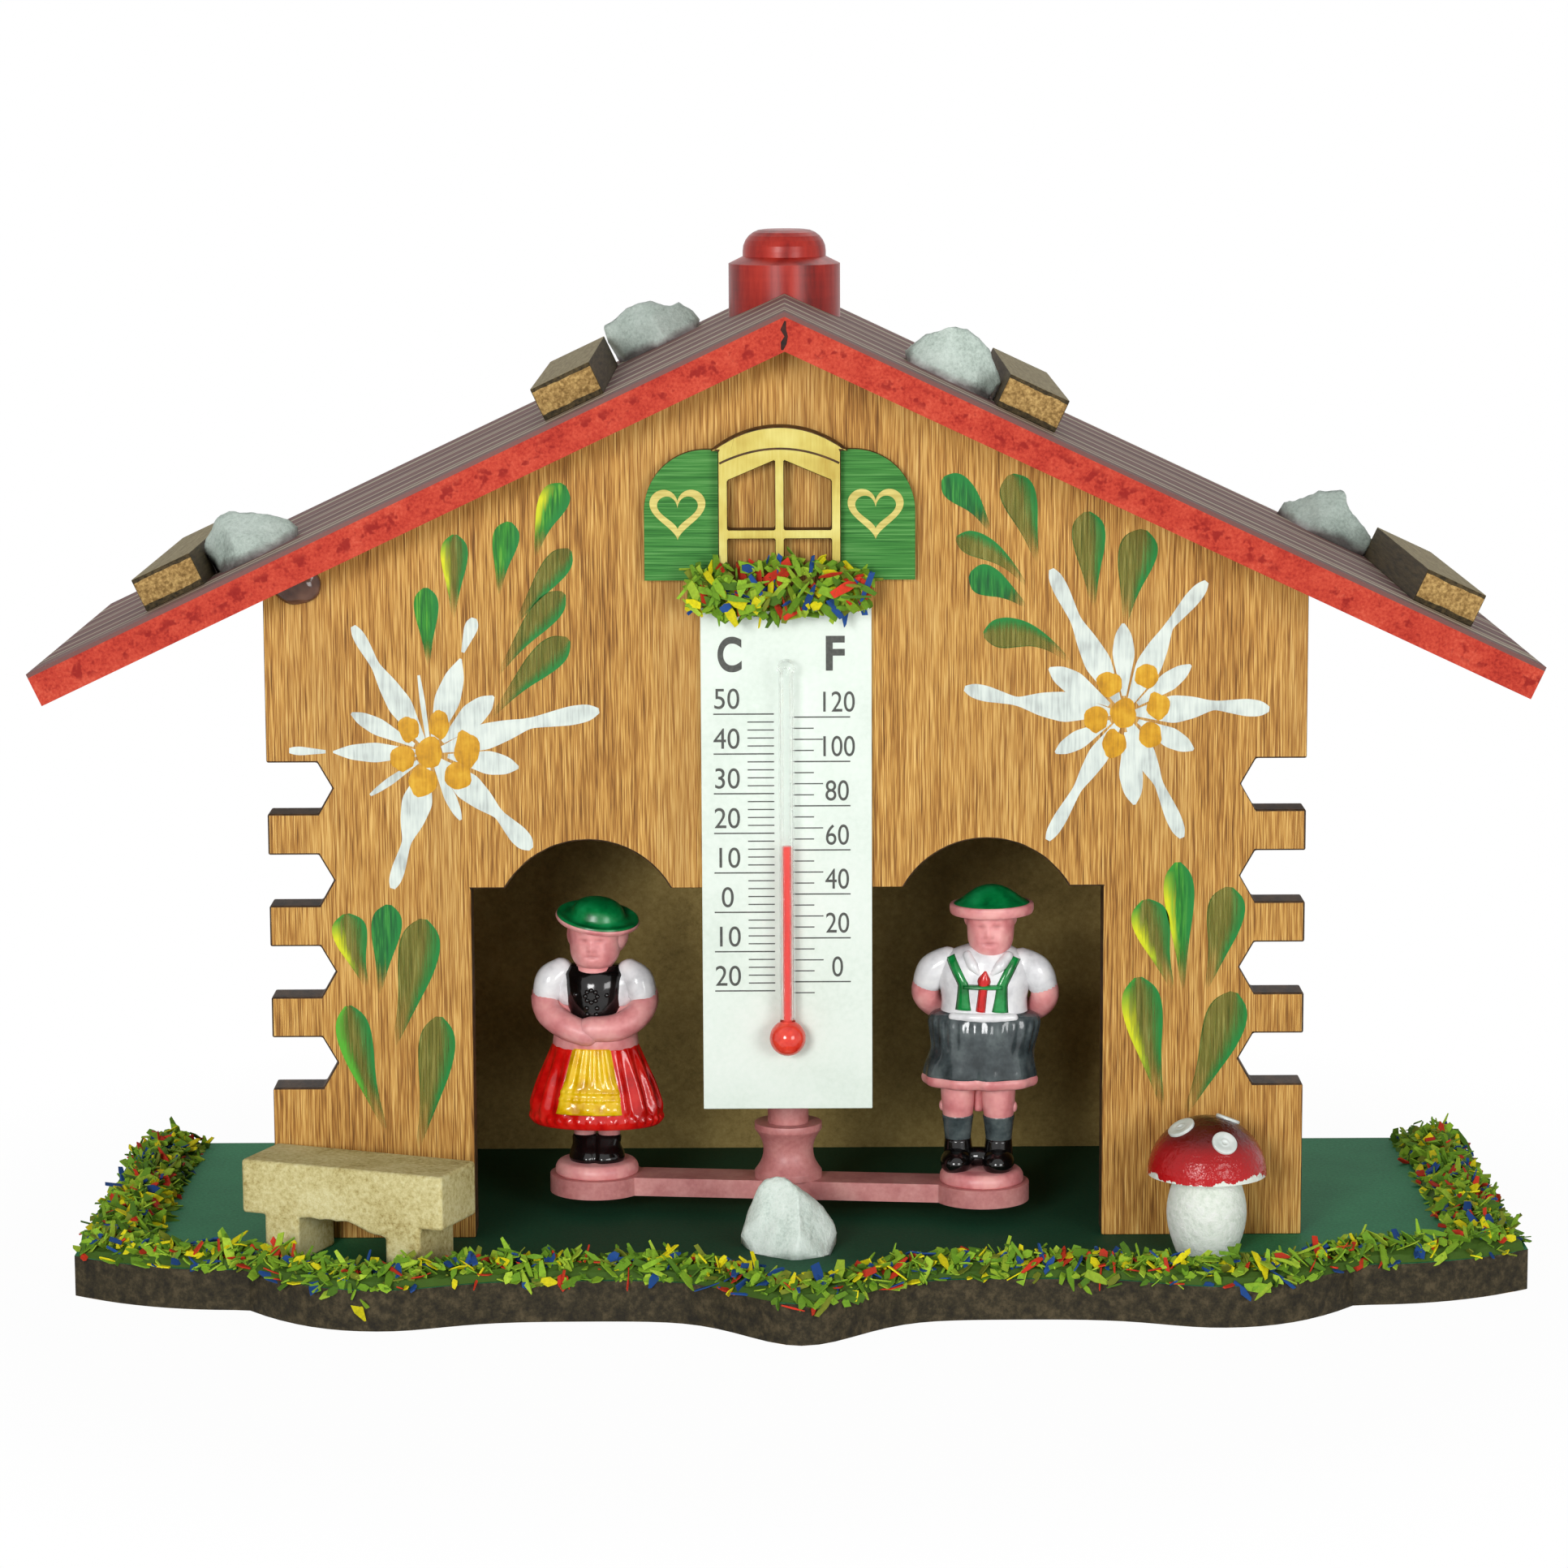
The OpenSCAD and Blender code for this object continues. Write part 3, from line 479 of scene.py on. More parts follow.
LEAVES = [
    ((-26.6, 97.7), (-30.0, 89.2), 1.7, -0.05, LOADED), ((-33.1, 93.2), (-34.5, 84.6), 1.5, -0.02, PLAIN),
    ((-39.7, 91.7), (-40.0, 81.7), 1.55, 0.0, EDGED), ((-43.3, 85.3), (-43.1, 76.0), 1.4, 0.0, PLAIN),
    ((-25.9, 89.8), (-32.6, 80.8), 1.5, -0.02, WASHED), ((-26.7, 84.6), (-34.6, 74.9), 1.6, -0.03, WASHED),
    ((-26.2, 79.0), (-35.4, 69.8), 1.75, -0.03, WASHED), ((18.9, 98.2), (24.6, 91.7), 1.6, 0.08, DARK),
    ((27.0, 98.6), (30.2, 88.1), 2.0, 0.02, WASHED), ((36.2, 94.1), (37.0, 82.4), 1.9, 0.0, WASHED),
    ((43.0, 91.9), (40.8, 80.5), 2.2, -0.02, WASHED), ((20.5, 91.0), (28.9, 85.3), 1.4, 0.1, WASHED),
    ((22.1, 86.6), (28.9, 82.7), 1.75, 0.06, DARK), ((23.8, 79.3), (34.1, 76.1), 1.75, 0.14, WASHED),
    ((-53.6, 45.5), (-51.2, 36.4), 2.0, -0.03, EDGED), ((-48.4, 46.6), (-49.7, 35.7), 1.75, 0.0, DARK),
    ((-44.2, 44.8), (-48.1, 29.0), 2.35, 0.03, WASHED), ((-53.6, 34.1), (-49.3, 18.8), 2.0, -0.03, FRESH_EDGED),
    ((-42.5, 32.7), (-45.4, 16.3), 2.1, 0.03, WASHED), ((47.4, 51.4), (48.2, 35.8), 1.75, 0.0, LOADED),
    ((43.5, 46.8), (46.9, 35.8), 2.15, -0.02, EDGED), ((53.7, 48.3), (51.0, 35.8), 2.15, 0.03, WASHED),
    ((42.7, 37.2), (45.8, 21.2), 2.3, -0.02, EDGED), ((54.4, 35.3), (48.5, 20.1), 2.4, 0.03, WASHED),
]
for side, (centre, longs, shorts, daubs) in FLOWERS.items():
    strokes = [short_petal(centre, *petal) for petal in shorts]
    for petal in longs:
        strokes += long_petal(centre, *petal)
    new_piece(f"edelweiss_{side}", *gather(strokes)[:2], petal_white, "house", "flower_white", False)
    dabs = [daub(*dab, i) for i, dab in enumerate(daubs)]
    new_piece(f"edelweiss_heart_{side}", *gather(dabs)[:2], daub_yellow, "house", "flower_yellow", False)
verts, faces, marks = gather([leaf(*stroke) for stroke in LEAVES])
tint(new_piece("leaf_sprays", verts, faces, leaf_paint, "house", "leaf_green", False), "stroke", marks)

# Roof: two boards mitred at the ridge, with edges rolled in red paint, under a printed striped covering.
# A drop of glue has run out under the left eave and set brown.
PITCH = math.radians(25.2)
RIDGE = 114.0
ROOF_FRONT = -24.6
GAP_LINE = [(0.1, 117.6), (-0.15, 116.6), (0.2, 115.8), (-0.1, 115.0), (-0.3, 114.2)]
GAP_WIDTHS = [0.1, 0.34, 0.2, 0.36, 0.14]
GLUE_X, GLUE_Y, GLUE_Z = -58.9, FRONT - 0.2, 86.0
GLUE_WIDE, GLUE_DEEP, GLUE_TALL, GLUE_SAG = 3.1, 1.2, 2.6, 0.25


def over_eaves(place):
    """Distance in millimetres square to either slope, up from the underside of its board."""
    aside = place.node("Math", {"operation": "ABSOLUTE"}, {0: along_axis(place, "X")})
    rise = aside * math.sin(PITCH) + along_axis(place, "Z") * math.cos(PITCH)
    return rise * (1 / MM) - RIDGE * math.cos(PITCH)


def mottled(name, rough, shine, spots, *stops, fine=(3.0, 0.6), bump=None, **others):
    """A finish of one mottled colour, raised with its mottle by a bump of (strength, depth)."""
    material, place = new_finish(name, rough, shine, **others)
    mottle = grain(place, spots, *fine)
    tones(mottle, *stops).feed("Base Color")
    if bump:
        relief(mottle, *bump)
    return material


roof_red, place = new_finish("roof_red", 0.62, 0.2)
pits = grain(place, 300, 4.0, 0.7) * 0.5 + grain(place, 2600) * 0.5
red = tones(pits, (0.36, 152, 32, 20), (0.45, 178, 50, 33), (0.55, 193, 66, 45), (0.7, 210, 92, 68))
core = over_eaves(place) - 1.9
patches = ramp(core * core, 1.8, 0.3) * ramp(grain(place, 750, 2.0), 0.53, 0.62)
under = stain_tones(place, X)[0]
red = coat(patches * 0.85, red, paint(138, 14, 8))
coat(looks_along(place, "Z") < -0.5, red, under).feed("Base Color")
relief(pits, 0.4, 0.2)
dress(roof_red, "roof_board_left", "roof_board_right")

roof_stripes, place = new_finish("roof_stripes", 0.6, 0.1)
down = along_axis(place, "Y")
warp = grain(place, (2, 90, 2), 2.0)
wide = place.sum("SINE", down * 590.0 + warp * 9.0, 0.0)
narrow = place.sum("SINE", down * 1370.0 + warp * 15.0, 0.0)
ground = tones(warp, (0.36, 88, 56, 54), (0.5, 126, 88, 84), (0.64, 102, 70, 66))
lines = wide * 0.65 + narrow * 0.35
facing = looks_along(place, "Y")
coat(ramp(lines, 0.25, 0.6) * (facing * facing < 0.5), ground, paint(196, 186, 162)).feed("Base Color")
relief(lines, 0.2, 0.1)
dress(roof_stripes, "roof_cover_left", "roof_cover_right")

gap_dark = mottled("gap_dark", 0.9, 0.5, 900, (0.3, 20, 12, 8), (0.7, 70, 28, 20))
crack = brush(GAP_LINE, GAP_WIDTHS, lambda x, z: ROOF_FRONT)
new_piece("ridge_gap", *crack[:2], gap_dark, "house", "roof_red")

set_glue = mottled(
    "set_glue", 0.12, 0.5, 300, (0.35, 86, 56, 44), (0.65, 136, 96, 76),
    fine=(2.0, 0.6), Transmission_Weight=0.35, IOR=1.45,
)
ball = bmesh.new()
bmesh.ops.create_icosphere(ball, subdivisions=4, radius=1.0)
drop = []
for vert in ball.verts:
    x, y, z = vert.co * (1 + 0.12 * noise.noise(vert.co * 1.6 + Vector((3, 1, 0))))
    low = GLUE_Z + GLUE_TALL * z - GLUE_SAG * vert.co.x
    drop.append((GLUE_X + GLUE_WIDE * x, GLUE_Y + GLUE_DEEP * y, low))
new_piece("glue_drop", drop, [[v.index for v in f.verts] for f in ball.faces], set_glue, "house", "glue_brown")
ball.free()

# Chimney: a turned wooden peg with a stepped cap, glued over the ridge.
# It is dipped in dark red lacquer, which has run down it in streaks.
chimney_red, place = new_finish("chimney_red", 0.36, 0.3, Coat_Weight=0.06, Coat_Roughness=0.2)
turning = grain(place, (60, 60, 1500))
streak = grain(place, (420, 420, 60), 4.0)
lacquer = tones(turning * 0.12 + streak * 0.88, (0.34, 112, 18, 12), (0.5, 156, 30, 20), (0.66, 182, 48, 34))
lacquer.feed("Base Color")
relief(turning * 0.15 + streak * 0.85, 0.2, 0.1)
dress(chimney_red, "chimney")

# Roof slats and stones: strips of plywood whose burnt layers show on the ends, glued along the roof.
# Chips of white marble lie against them, as on a real alpine roof.
ROOF_T = 4.2
RIDGE_TOP = RIDGE + ROOF_T / math.cos(PITCH)
SLAT_T, SLAT_W = 4.2, 7.8
STONE_SIZE = (12.0, 11.0, 6.6)
STONE_ROWS, STONE_AROUND = 49, 31
ON_ROOF = {
    "upper_left": (27.9, 63.5, 11, [
        (-1, 0.45), (-0.95, 0.82), (-0.45, 1.0), (-0.1, 0.95), (0.22, 0.82), (0.55, 0.6), (0.75, 0.58), (0.95, 0.36),
        (1, 0.1),
    ]),
    "lower_left": (81.4, 20.0, 5, [
        (-1, 0.5), (-0.94, 0.64), (-0.5, 0.92), (0, 1.0), (0.4, 0.92), (0.82, 0.8), (0.95, 0.42), (1, 0.15),
    ]),
    "upper_right": (31.9, 20.0, 8, [
        (-1, 0.12), (-0.95, 0.3), (-0.57, 0.97), (-0.35, 0.96), (-0.12, 1.0), (0.2, 0.93), (0.48, 0.84), (0.74, 0.6),
        (1, 0.36),
    ]),
    "lower_right": (87.6, 63.5, 14, [
        (-1, 0.3), (-0.96, 0.4), (-0.85, 0.36), (-0.62, 0.56), (-0.45, 0.8), (-0.1, 1.0), (0.1, 1.0), (0.22, 0.8),
        (0.42, 0.66), (0.8, 0.52), (1, 0.4),
    ]),
}
slat_ply, place = new_finish("slat_ply", 0.7, 0.2)
layer = (over_eaves(place) - ROOF_T) * (1 / SLAT_T)
ragged = layer + (grain(place, 500) - 0.5) * 0.12
fibre = grain(place, (2200, 160, 2200), 3.0, 0.7)
speckle = grain(place, 2400)
core = tones(speckle, (0.34, 128, 98, 52), (0.5, 168, 134, 78), (0.68, 206, 172, 108))
burnt = tones(speckle, (0.34, 40, 34, 20), (0.68, 86, 72, 46))
ends = coat(ragged < 0.17, coat(ragged > 0.88, core, burnt), burnt)
top = tones(fibre * 0.5 + speckle * 0.5, (0.36, 128, 114, 82), (0.5, 156, 142, 106), (0.66, 182, 168, 130))
flank = tones(fibre, (0.3, 46, 38, 24), (0.7, 92, 78, 52))
along = looks_along(place, "Y")
coat(looks_along(place, "Z") > 0.6, coat(along * along > 0.5, flank, ends), top).feed("Base Color")
relief(fibre, 0.4, 0.12)


def marble(name, glued):
    """White marble, with dark glue and painted shade at the foot of a chip on the roof."""
    material, place = new_finish(
        name, 0.6, 0.3, Subsurface_Weight=0.1, Subsurface_Radius=(0.004, 0.004, 0.004), Subsurface_Scale=0.3,
    )
    crystal = grain(place, 2400, 3.0, 0.7)
    vein = grain(place, 170, 4.0)
    mottle = crystal * 0.45 + vein * 0.55
    if glued:
        stone = tones(mottle, (0.34, 158, 174, 164), (0.48, 196, 211, 201), (0.62, 219, 232, 223))
        # Glue and painted shade together darken the foot of each roof chip.
        foot = over_eaves(place) + (vein - 0.5) * 3.0
        glue = tones(vein, (0.4, 70, 44, 46), (0.65, 150, 122, 126))
        stone = coat(ramp(foot, 5.4, 4.4) * 0.8, stone, glue)
    else:
        stone = tones(mottle, (0.34, 192, 208, 198), (0.48, 226, 239, 230), (0.62, 238, 248, 241))
    stone.feed("Base Color")
    relief(crystal, 0.6, 0.2)
    return material


def blunt(value):
    """A value from -1 to 1 drawn towards the ends."""
    return math.copysign(abs(value) ** 0.75, value)


def chip_of_stone(size, outline, seed, seat):
    """Points and faces of a broken chip on a flat foot, with that outline of (place, height) seen from the front."""
    rng = random.Random(seed)
    breaks = []
    for _ in range(8):
        lean = Vector((rng.uniform(-0.8, 0.8), rng.choice((-1, 1)) * rng.uniform(0.5, 1.0), rng.uniform(0.3, 1.0)))
        breaks.append((lean.normalized(), rng.uniform(0.66, 0.88)))
    verts = []
    for i in range(STONE_ROWS):
        s = 2 * i / (STONE_ROWS - 1) - 1
        deep = 0.68 + 0.32 * (1 - abs(s) ** 2.5)
        for k in range(STONE_AROUND):
            a = math.pi * k / (STONE_AROUND - 1)
            at = Vector((s, -blunt(math.cos(a)) * deep, math.sin(a) ** 0.75 * level(outline, s)))
            for lean, limit in breaks:
                at -= lean * max(0.0, at.dot(lean) - limit)
            lump = 1 + 0.04 * noise.noise(at * 2.4 + Vector((seed, 0, 0)))
            lump += 0.02 * noise.noise(at * 7 + Vector((0, seed, 0)))
            x, y, z = at * lump
            verts.append(seat @ Vector((x * size[0] / 2, y * size[1] / 2, max(0.0, z) * size[2])))
    return verts, skin(STONE_ROWS, STONE_AROUND)


roof_marble = marble("roof_marble", True)
for which, (slat_u, setback, seed, outline) in ON_ROOF.items():
    dress(slat_ply, f"slat_{which}")
    soften(0.2, f"slat_{which}")
    side = -1 if which.endswith("left") else 1
    u = slat_u - SLAT_W / 2 - STONE_SIZE[0] / 2
    foot = (side * u * math.cos(PITCH), ROOF_FRONT + setback, RIDGE_TOP - u * math.sin(PITCH))
    seat = Matrix.Translation(foot) @ Matrix.Rotation(side * PITCH, 4, "Y")
    chip = chip_of_stone(STONE_SIZE, outline, seed, seat)
    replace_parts(new_piece(f"chip_{which}", *chip, roof_marble, "house", "pale_stone"), f"stone_{which}")

# Window: a cream frame with an engraved cornice line and two green shutters, cut from plywood.
# The laser burns the edges brown, and the hearts are left bare. Dyed flakes are glued on as flowers.
FRAME = FRONT - 3.0
SHUTTER = FRONT - 1.5
WINDOW_X = -0.7
SCORCH = ((0.34, 44, 28, 14), (0.66, 92, 62, 30))


def burn_edges(place, face):
    """Feeds the colour of a face that looks to the front, with edges that the laser has scorched."""
    burn = tones(grain(place, 800), *SCORCH)
    coat(looks_along(place, "Y") < -0.95, burn, face).feed("Base Color")


def hump(*offsets):
    """1 in the middle, and falling off to 0 at offsets given in widths."""
    return math.exp(-sum(offset * offset for offset in offsets))


window_cream, place = new_finish("window_cream", 0.55, 0.25)
wash = grain(place, 120)
fibre = grain(place, BRISTLES, 2.0)
cream = tones(wash * 0.82 + fibre * 0.18, (0.36, 184, 156, 66), (0.5, 207, 190, 96), (0.64, 222, 212, 126))
burn_edges(place, cream)
relief(fibre, 0.25, 0.08)
dress(window_cream, "window_frame")
soften(0.4, "window_frame")

shutter_green, place = new_finish("shutter_green", 0.55, 0.2)
fibre = grain(place, (110, 6000, 6000), 2.0, 0.5)
burn_edges(place, tones(fibre, (0.32, 34, 98, 34), (0.5, 58, 128, 52), (0.7, 90, 152, 78)))
relief(fibre, 0.35, 0.1)
dress(shutter_green, "shutter_left", "shutter_right")
soften(0.2, "shutter_left", "shutter_right")

bare_wood = mottled("bare_wood", 0.6, 0.5, (260, 3600, 3600), (0.36, 188, 172, 82), (0.66, 218, 204, 116))
HEART_W, HEART_Z, HEART_POINTS = 6.7, 94.1, 72
HEART_RIM, HEART_HOLE = (1.0, 1.0, 0.0, 0.0), (0.73, 0.66, 0.25, 0.5)
HEART_SECTION = [(SHUTTER - 0.04, *ring) for ring in (HEART_RIM, HEART_HOLE)]
HEART_SECTION += [(SHUTTER + 0.08, *ring) for ring in (HEART_HOLE, HEART_RIM)]
for word, x in (("left", -12.9), ("right", 10.8)):
    verts = []
    for i in range(HEART_POINTS):
        t = 2 * math.pi * i / HEART_POINTS
        rise = 13 * math.cos(t) - 5 * math.cos(2 * t) - 2 * math.cos(3 * t) - math.cos(4 * t) + 2.5
        cleft = hump(min(t, 2 * math.pi - t) / 0.55)
        for y, wide, tall, lift, dip in HEART_SECTION:
            px, pz = wide * HEART_W / 2 * math.sin(t) ** 3, tall * HEART_W / 32 * rise + lift - dip * cleft
            verts.append((x + px, y, HEART_Z + pz))
    new_piece(f"heart_{word}", verts, skin(HEART_POINTS, 4, True), bare_wood, "house", "plain_wood", False)

engraved = mottled("engraved", 0.8, 0.5, 900, *SCORCH)
ARC_HALF, ARC_TOP, ARC_DROP, CUT_HALF = 7.15, 102.1, 1.75, 0.13
arc = [(WINDOW_X + ARC_HALF * s, ARC_TOP - ARC_DROP * s * s) for s in (i / 12 - 1 for i in range(25))]
cut_line = brush(arc, [CUT_HALF] * len(arc), lambda x, z: FRAME, 0.0)
new_piece("cornice_line", *cut_line[:2], engraved, "house", "window_cream")

FLAKE_TINTS = (
    (24, (108, 152, 38)), (24, (136, 178, 46)), (11, (78, 118, 30)), (14, (168, 200, 58)), (5, (118, 128, 38)),
    (10, (228, 216, 24)), (8, (206, 50, 32)), (8, (28, 72, 142)),
)
FLAKE_SECTION = ((-0.5, -0.5), (0.5, -0.5), (0.5, 0.5), (-0.5, 0.5))
FLAKE_FACES = skin(3, len(FLAKE_SECTION))
TUFT_HALF, TUFT_RISE, TUFT_DEEP, TUFT_Z = 11.0, 3.5, 3.6, 85.4
flakes, place = new_finish("flakes", 0.75, 0.2)
dye = place.node("Attribute", {"attribute_name": "dye"}, {})
coat(ramp(grain(place, 2600, 2.0), 0.35, 0.75) * 0.3, dye, paint(60, 74, 20)).feed("Base Color")


def heap_of_flakes(count, seed, spot, lengths, breadths):
    """Points, faces and dyes of thin bent chips, each at a place and along a lay from spot(rng)."""
    rng = random.Random(seed)
    shares = [share for share, _ in FLAKE_TINTS]
    heap = []
    for _ in range(count):
        at, lay = spot(rng)
        length = lengths[0] + (lengths[1] - lengths[0]) * rng.random() ** 1.7
        breadth = rng.uniform(*breadths) * (1.0 if rng.random() < 0.82 else 0.4)
        thick = rng.uniform(0.1, 0.2)
        turn = lay @ Matrix.Rotation(rng.uniform(0, 2 * math.pi), 3, "Z")
        turn = turn @ Matrix.Rotation(rng.gauss(0, 0.4), 3, "Y") @ Matrix.Rotation(rng.gauss(0, 0.5), 3, "X")
        bend = rng.uniform(-0.2, 0.2) * length
        skew = rng.uniform(-0.35, 0.35) * breadth
        taper = rng.uniform(0.35, 1.0)
        colour = paint(*rng.choices(FLAKE_TINTS, shares)[0][1])
        shade = rng.uniform(0.78, 1.15)
        verts = []
        for s, wide in ((-0.5, taper), (0.0, 1.0), (0.5, rng.uniform(0.15, 0.8))):
            for across, rise in FLAKE_SECTION:
                chip = (s * length + across * skew, across * breadth * wide, rise * thick + bend * (0.25 - s * s))
                verts.append(at + turn @ Vector(chip))
        heap.append((verts, FLAKE_FACES, [[min(1.0, c * shade) for c in colour[:3]]] * len(verts)))
    return gather(heap)


def tuft_spot(rng):
    """Place in the tuft under the window, thickest in the middle."""
    t = rng.uniform(-1, 1)
    height = TUFT_RISE * (1 - 0.3 * t * t)
    s = rng.uniform(-1, 1)
    depth = rng.uniform(0.1, TUFT_DEEP) * math.sqrt(max(0.05, 1 - 0.8 * s * s))
    out = Matrix.Rotation(math.pi / 2 + 0.5 * s, 3, "X")
    return Vector((WINDOW_X + TUFT_HALF * t, FRAME - depth, TUFT_Z + height * s)), out


verts, faces, dyes = heap_of_flakes(300, 21, tuft_spot, (1.4, 4.2), (0.6, 1.3))
tuft = new_piece("window_tuft", verts, faces, flakes, "house", "flakes", False)
tint(tuft, "dye", dyes)
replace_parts(tuft, "window_flowers")

# Thermometer: a glass tube of red spirit glued to a printed card, in degrees of both common scales.
# The card is thin white board, and its print is grey-black ink.
CARD = FRONT - 0.8
INK = 0.03
CAPITALS = 0.7
LETTER_H, NUMBER_H, NUMBER_UP = 4.0, 2.5, 1.9
LONG_HALF, SHORT_HALF = 0.08, 0.07
C_TOP, C_STEP, C_NUMBER = 69.9, 4.857, -7.2
C_LONG, C_SHORT, C_END = -8.8, -4.7, -1.5
F_TOP, F_STEP, F_NUMBER = 69.5, 5.417, 6.1
F_START, F_SHORT, F_MIDDLE, F_LONG = 0.75, 3.3, 4.4, 7.7
BULB_AT, BULB_R = (0.0, -18.63 * MM, 30.5 * MM), 2.3 * MM
scale_card, place = new_finish("scale_card", 0.5)
pulp = grain(place, 1600)
stains = grain(place, 70)
board = tones(pulp * 0.35 + stains * 0.65, (0.3, 208, 221, 209), (0.5, 220, 231, 221), (0.7, 228, 236, 228))
board.feed("Base Color")
relief(pulp, 0.12, 0.05)
dress(scale_card, "thermometer_card")
soften(0.1, "thermometer_card")


def bar(x0, x1, z, half=SHORT_HALF):
    """Printed line across the card."""
    corners = ((x0, -half), (x1, -half), (x1, half), (x0, half))
    verts = [(x, y, z + h) for y in (CARD - INK, CARD + 0.05) for x, h in corners]
    return verts, skin(2, 4), [(0, 0, 0)] * len(verts)


def figures(text, x, z, height, width=1.0, weight=0.0):
    """Printed numbers or a letter, centred on a place."""
    curve = bpy.data.curves.new("type", "FONT")
    curve.body = text
    curve.align_x = "CENTER"
    curve.extrude = 0.5 * INK
    curve.size = height / CAPITALS
    curve.offset = weight
    holder = bpy.data.objects.new("type", curve)
    bpy.context.scene.collection.objects.link(holder)
    bpy.context.view_layer.update()
    mesh = bpy.data.meshes.new_from_object(holder.evaluated_get(bpy.context.evaluated_depsgraph_get()))
    verts = [(x + v.co.x * width, CARD - 0.5 * INK - v.co.z, z - height / 2 + v.co.y) for v in mesh.vertices]
    faces = [tuple(p.vertices) for p in mesh.polygons]
    bpy.data.objects.remove(holder)
    bpy.data.curves.remove(curve)
    bpy.data.meshes.remove(mesh)
    return verts, faces, [(0, 0, 0)] * len(verts)


printed = [figures("C", -6.8, 77.2, LETTER_H, 0.76, 0.16), figures("F", 5.8, 77.3, LETTER_H, 0.95, 0.16)]
for i, number in enumerate(("50", "40", "30", "20", "10", "0", "10", "20")):
    z = C_TOP - i * C_STEP
    printed += [bar(C_LONG, C_END, z, LONG_HALF), figures(number, C_NUMBER, z + NUMBER_UP, NUMBER_H, 0.92)]
    if i < 7:
        printed += [bar(C_SHORT, C_END, z - C_STEP * k / 5) for k in range(1, 5)]
for i, number in enumerate(("120", "100", "80", "60", "40", "20", "0")):
    z = F_TOP - i * F_STEP
    printed += [bar(F_START, F_LONG, z, LONG_HALF), figures(number, F_NUMBER, z + NUMBER_UP, NUMBER_H, 0.84)]
    if i < 6:
        printed += [bar(F_START, F_MIDDLE if k == 2 else F_SHORT, z - F_STEP * k / 4) for k in (1, 2, 3)]
printed.append(bar(F_START, F_SHORT, F_TOP - 6.25 * F_STEP))
print_ink = mottled("print_ink", 0.55, 0.5, 2200, (0.3, 50, 52, 48), (0.7, 74, 76, 70), fine=(2.0, 0.6))
new_piece("scale_print", *gather(printed)[:2], print_ink, "house", "print_black", False)


def own_shader(place):
    return Wire(place.tree, place.tree.nodes["Principled BSDF"].outputs[0])


def show(shader):
    shader.tree.links.new(shader.socket, shader.tree.nodes["Material Output"].inputs["Surface"])


clear_glass, place = new_finish(
    "clear_glass", 0.03, Transmission_Weight=1.0, IOR=1.46, Base_Color=(0.97, 0.99, 0.98, 1.0),
)
relief(grain(place, (160, 160, 40), 2.0), 0.15, 0.1)
see_through = place.node("BsdfTransparent", {}, {})
thin_glass = place.node("MixShader", {}, {0: 0.6, 1: own_shader(place), 2: see_through})
spirit_glow = tones(grain(place, 700, 2.0), (0.34, 216, 44, 32), (0.66, 240, 78, 58))
full_bulb = place.node("BsdfPrincipled", {}, {"Base Color": spirit_glow, "Roughness": 0.08})
from_bulb = place.node("VectorMath", {"operation": "DISTANCE"}, {0: place, 1: BULB_AT}, "Value")
show(place.node("MixShader", {}, {0: from_bulb < BULB_R, 1: thin_glass, 2: full_bulb}))
dress(clear_glass, "thermometer_tube")
red_spirit = mottled("red_spirit", 0.15, 0.5, (200, 200, 60), (0.3, 206, 34, 28), (0.7, 232, 62, 50), fine=(2.0, 0.6))
dress(red_spirit, "thermometer_spirit")

# Hanger: a block of plain wood glued under the ridge, with a turnable plug that holds the gut strand.
# The strand twists with the humidity of the air and carries the figures below.
plain_wood = mottled(
    "plain_wood", 0.65, 0.5, (1500, 120, 1500), (0.3, 168, 132, 84), (0.5, 204, 170, 118), (0.7, 226, 196, 146),
    fine=(4.0, 0.7), bump=(0.35, 0.15),
)
dress(plain_wood, "hanger_block", "adjuster_plug")
gut_fibre = mottled(
    "gut_fibre", 0.45, 0.5, (1800, 1800, 300), (0.3, 168, 138, 88), (0.7, 224, 200, 150), bump=(0.5, 0.1),
    Subsurface_Weight=0.3, Subsurface_Radius=(0.002, 0.0015, 0.001), Subsurface_Scale=0.3,
)
dress(gut_fibre, "gut_strand")

# Figure carrier: a bar with two discs and a spool-shaped hub, moulded in one piece of pink plastic.
# Its hollow column goes up behind the card to the gut strand.
PINK_ROUGH = 0.42
PINK = {"Subsurface_Weight": 0.15, "Subsurface_Radius": (0.003, 0.0015, 0.001), "Subsurface_Scale": 0.4}
pink_moulding, place = new_finish("pink_moulding", PINK_ROUGH, **PINK)
flow = grain(place, 240)
mould = grain(place, 1800, 2.0)
pink = tones(flow * 0.7 + mould * 0.3, (0.34, 178, 106, 105), (0.5, 196, 128, 125), (0.66, 210, 149, 143))
pink.feed("Base Color")
relief(flow * 0.6 + mould * 0.4, 0.15, 0.08)
dress(pink_moulding, "figure_carrier", "gut_anchor")
soften(0.85, "figure_carrier")

# Woman: a moulded pink doll with folded arms, painted by hand in gloss: white blouse, black bodice and
# boots, red pleated skirt, yellow apron and a green hat. Its stand has a peg that is pressed into the disc.
AXIS_Y = -3.6
SHOWN_TURN = math.radians(-6.5)
ARM = 24.2
STAND_TOP = 11.4
LIMB_AROUND, LIMB_STEPS = 18, 22
APRON_ROWS, APRON_COLUMNS = 48, 49


